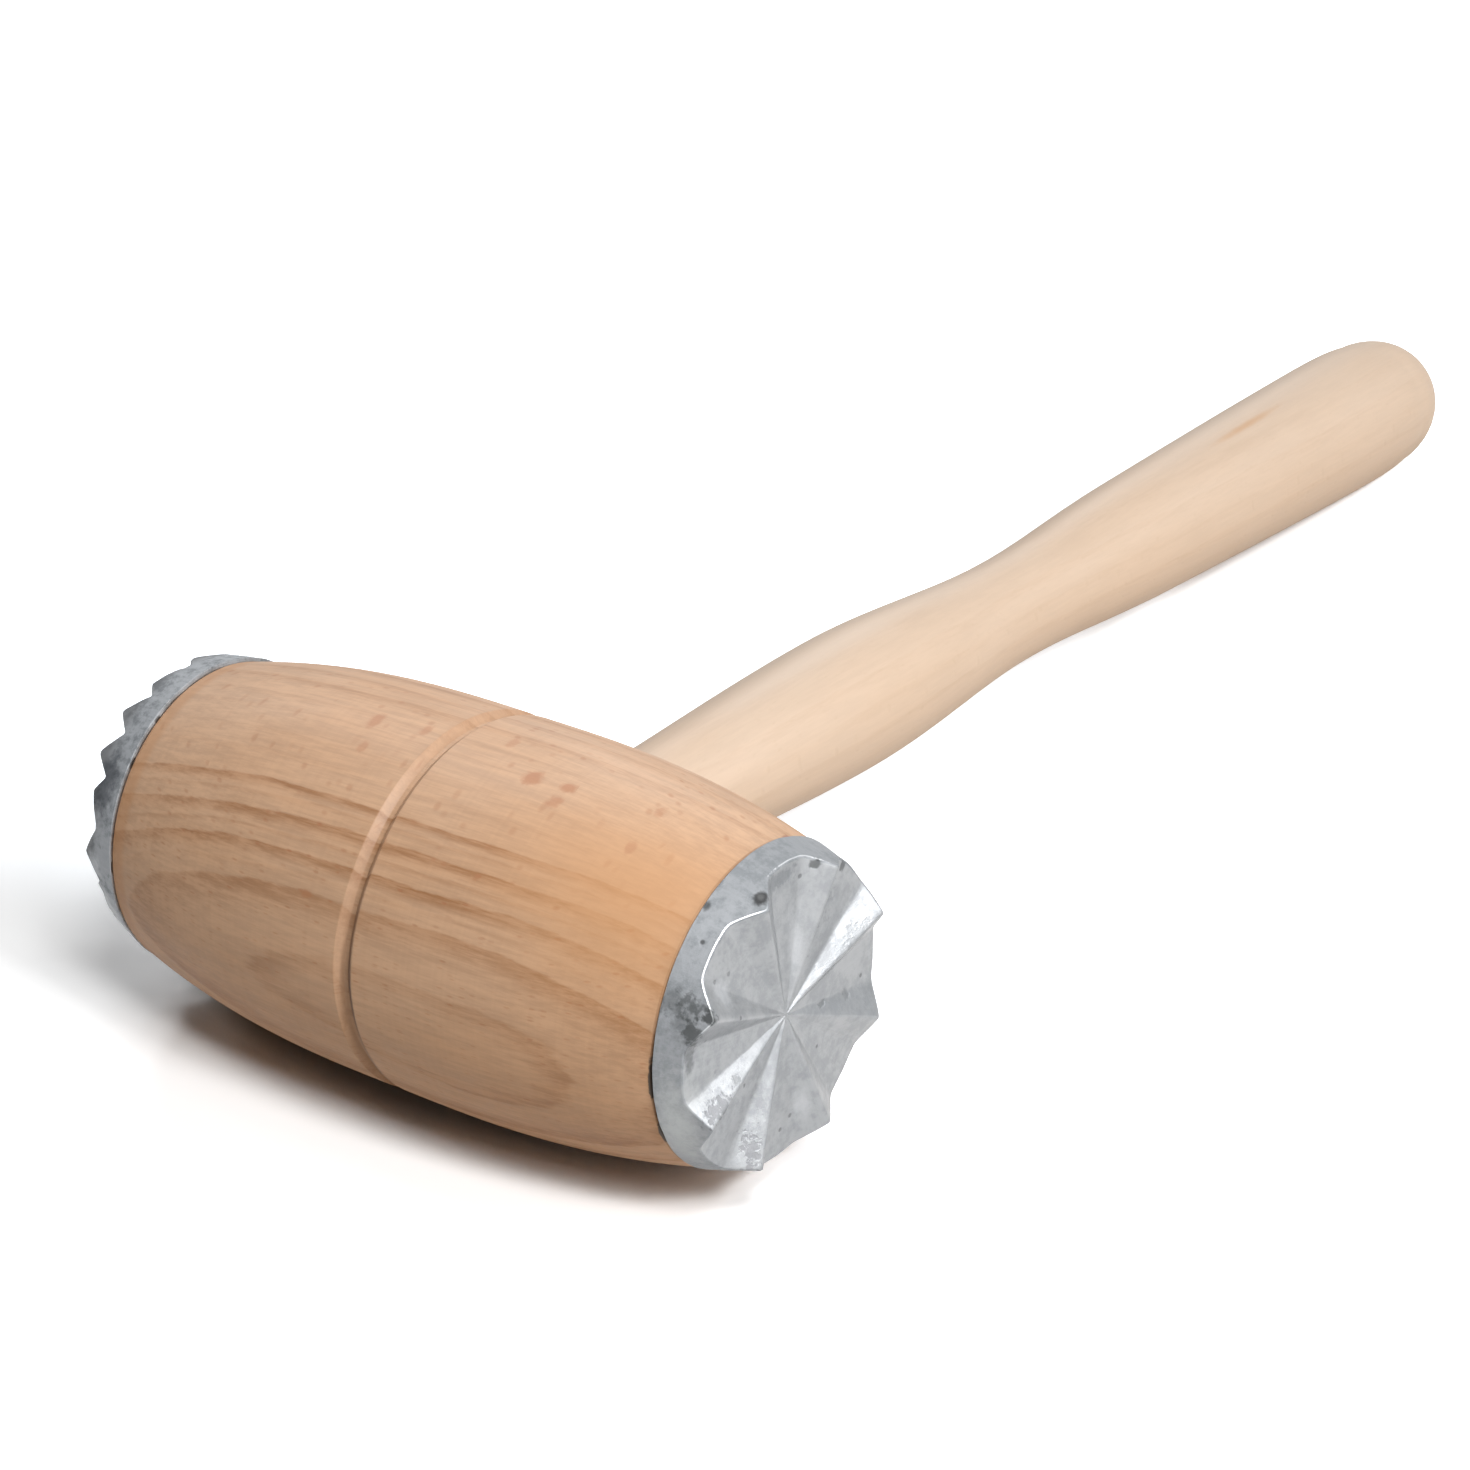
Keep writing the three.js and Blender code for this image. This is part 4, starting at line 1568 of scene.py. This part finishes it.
# A pith is the middle of the growth rings, outside the turned wood, at a distance from the piece's axis.
HEAD_PITH = 118 * MM
HEAD_PITH_WAY = Vector((0, -0.990, -0.139))
HEAD_GRAIN = Vector((1, 0.0386, 0.0054))
HEAD_RINGS = rings(
    HEAD_PITH,
    (-26.3, 0.9, 0.6),
    (-24.5, 0.8, 0.15),
    (-22.4, 3.0, 0.85),
    (-20.7, 0.9, 0.2),
    (-18.6, 2.2, 0.9),
    (-16.9, 0.9, 0.35),
    (-14.7, 2.4, 0.85),
    (-12.7, 1.0, 0.25),
    (-10.9, 1.8, 0.9),
    (-6.8, 1.6, 0.12),
    (-3.2, 1.4, 0.1),
    (1.2, 1.6, 0.1),
    (4.1, 1.8, 0.15),
    (8.3, 2.4, 0.4),
    (12.0, 2.4, 0.35),
    (16.2, 2.4, 0.6),
    (20.0, 2.4, 0.5),
    (24.1, 2.6, 0.7),
)
HANDLE_PITH = 60 * MM
HANDLE_PITH_SIDE = 0.34
HANDLE_PITH_DOWN = 0.94
HANDLE_RINGS = rings(
    HANDLE_PITH,
    (-9.5, 2.2, 0.2),
    (-6, 2, 0.12),
    (-2.2, 2.4, 0.25),
    (1.5, 2, 0.12),
    (5.5, 2.6, 0.2),
    (9.3, 2.4, 0.12),
)

HEAD_BEECH = Beech(
    name="head beech",
    light=(0.51, 0.326, 0.208),
    warm=(0.49, 0.293, 0.171),
    line=(0.33, 0.16, 0.07),
    ray=(0.34, 0.155, 0.075),
    rings=HEAD_RINGS,
    sway=3.0 * MM,
    tremble=1.0 * MM,
    warm_share=0.8,
    fibre_share=0.14,
    ray_share=0.42,
    roughness=0.52,
    vessel_share=0.9,
    turning=0.018,
    bands=BARREL_BANDS,
    spots=BARREL_SPOTS,
)
HANDLE_BEECH = Beech(
    name="handle beech",
    light=(0.53, 0.41, 0.312),
    warm=(0.51, 0.37, 0.26),
    line=(0.44, 0.305, 0.205),
    ray=(0.43, 0.31, 0.21),
    rings=HANDLE_RINGS,
    sway=3.0 * MM,
    tremble=1.0 * MM,
    warm_share=0.35,
    fibre_share=0.04,
    ray_share=0.15,
    roughness=0.5,
    spots=HANDLE_STREAKS,
)
STAR_ALUMINIUM = CastAluminium("star aluminium", spots=STAR_SPOTS, wear=STAR_WEAR)
TOOTH_ALUMINIUM = CastAluminium(
    "tooth aluminium",
    tarnish=(0.2, 0.21, 0.22),
    # The tooth cap's skirt grows darker towards its face.
    rim_darkening=0.6,
    spots=TOOTH_SPOTS,
)


def dress(piece: bpy.types.Object, material: bpy.types.Material, node: str) -> None:
    """Gives a piece its finish and makes it stand for its node.

    Args:
        piece: The finished piece.
        material: Its finish.
        node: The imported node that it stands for.
    """
    piece.data.materials.clear()
    piece.data.materials.append(material)
    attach(piece, "root")
    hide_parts(node)
    LOG.info("%s stands for %s with %d faces", piece.name, node, len(piece.data.polygons))


def build_barrel(stance: Stance, shape: BarrelShape) -> None:
    """Turns and dresses the barrel.

    Args:
        stance: How the mallet lies.
        shape: The curve of the barrel's side.
    """
    pith = stance.middle + HEAD_PITH_WAY * HEAD_PITH
    barrel = HeadBarrel(stance, shape).build()
    dress(barrel, HEAD_BEECH.make(pith, HEAD_GRAIN.normalized()), "head_barrel")


def build_caps(stance: Stance, shape: BarrelShape) -> None:
    """Casts and dresses both caps.

    Args:
        stance: How the mallet lies.
        shape: The curve that the skirts follow.
    """
    caps = (
        (StarCap(stance, shape, End.STAR), STAR_ALUMINIUM, "star_cap"),
        (ToothCap(stance, shape, End.TOOTH), TOOTH_ALUMINIUM, "tooth_cap"),
    )
    for cap, metal, node in caps:
        skin = metal.make(stance.middle, shape.half_length + cap.seat_gap, float(cap.skirt(0.0)))
        dress(cap.build(), skin, node)


def build_handle(stance: Stance) -> None:
    """Turns and dresses the handle.

    Args:
        stance: How the mallet lies.
    """
    down = Vector((HANDLE_PITH_SIDE, 0, 0)) - stance.up * HANDLE_PITH_DOWN
    skin = HANDLE_BEECH.make(stance.grip_origin + down * HANDLE_PITH, stance.grip)
    dress(Handle(stance).build(), skin, "handle")


def main() -> None:
    """Builds the mallet, dresses it and lights it."""
    logging.basicConfig(level=logging.INFO, format="%(name)s: %(message)s")
    stance = Stance.read()
    shape = BarrelShape(belly=stance.belly)
    build_barrel(stance, shape)
    build_caps(stance, shape)
    build_handle(stance)
    Studio().build()


if __name__ == "__main__":
    main()
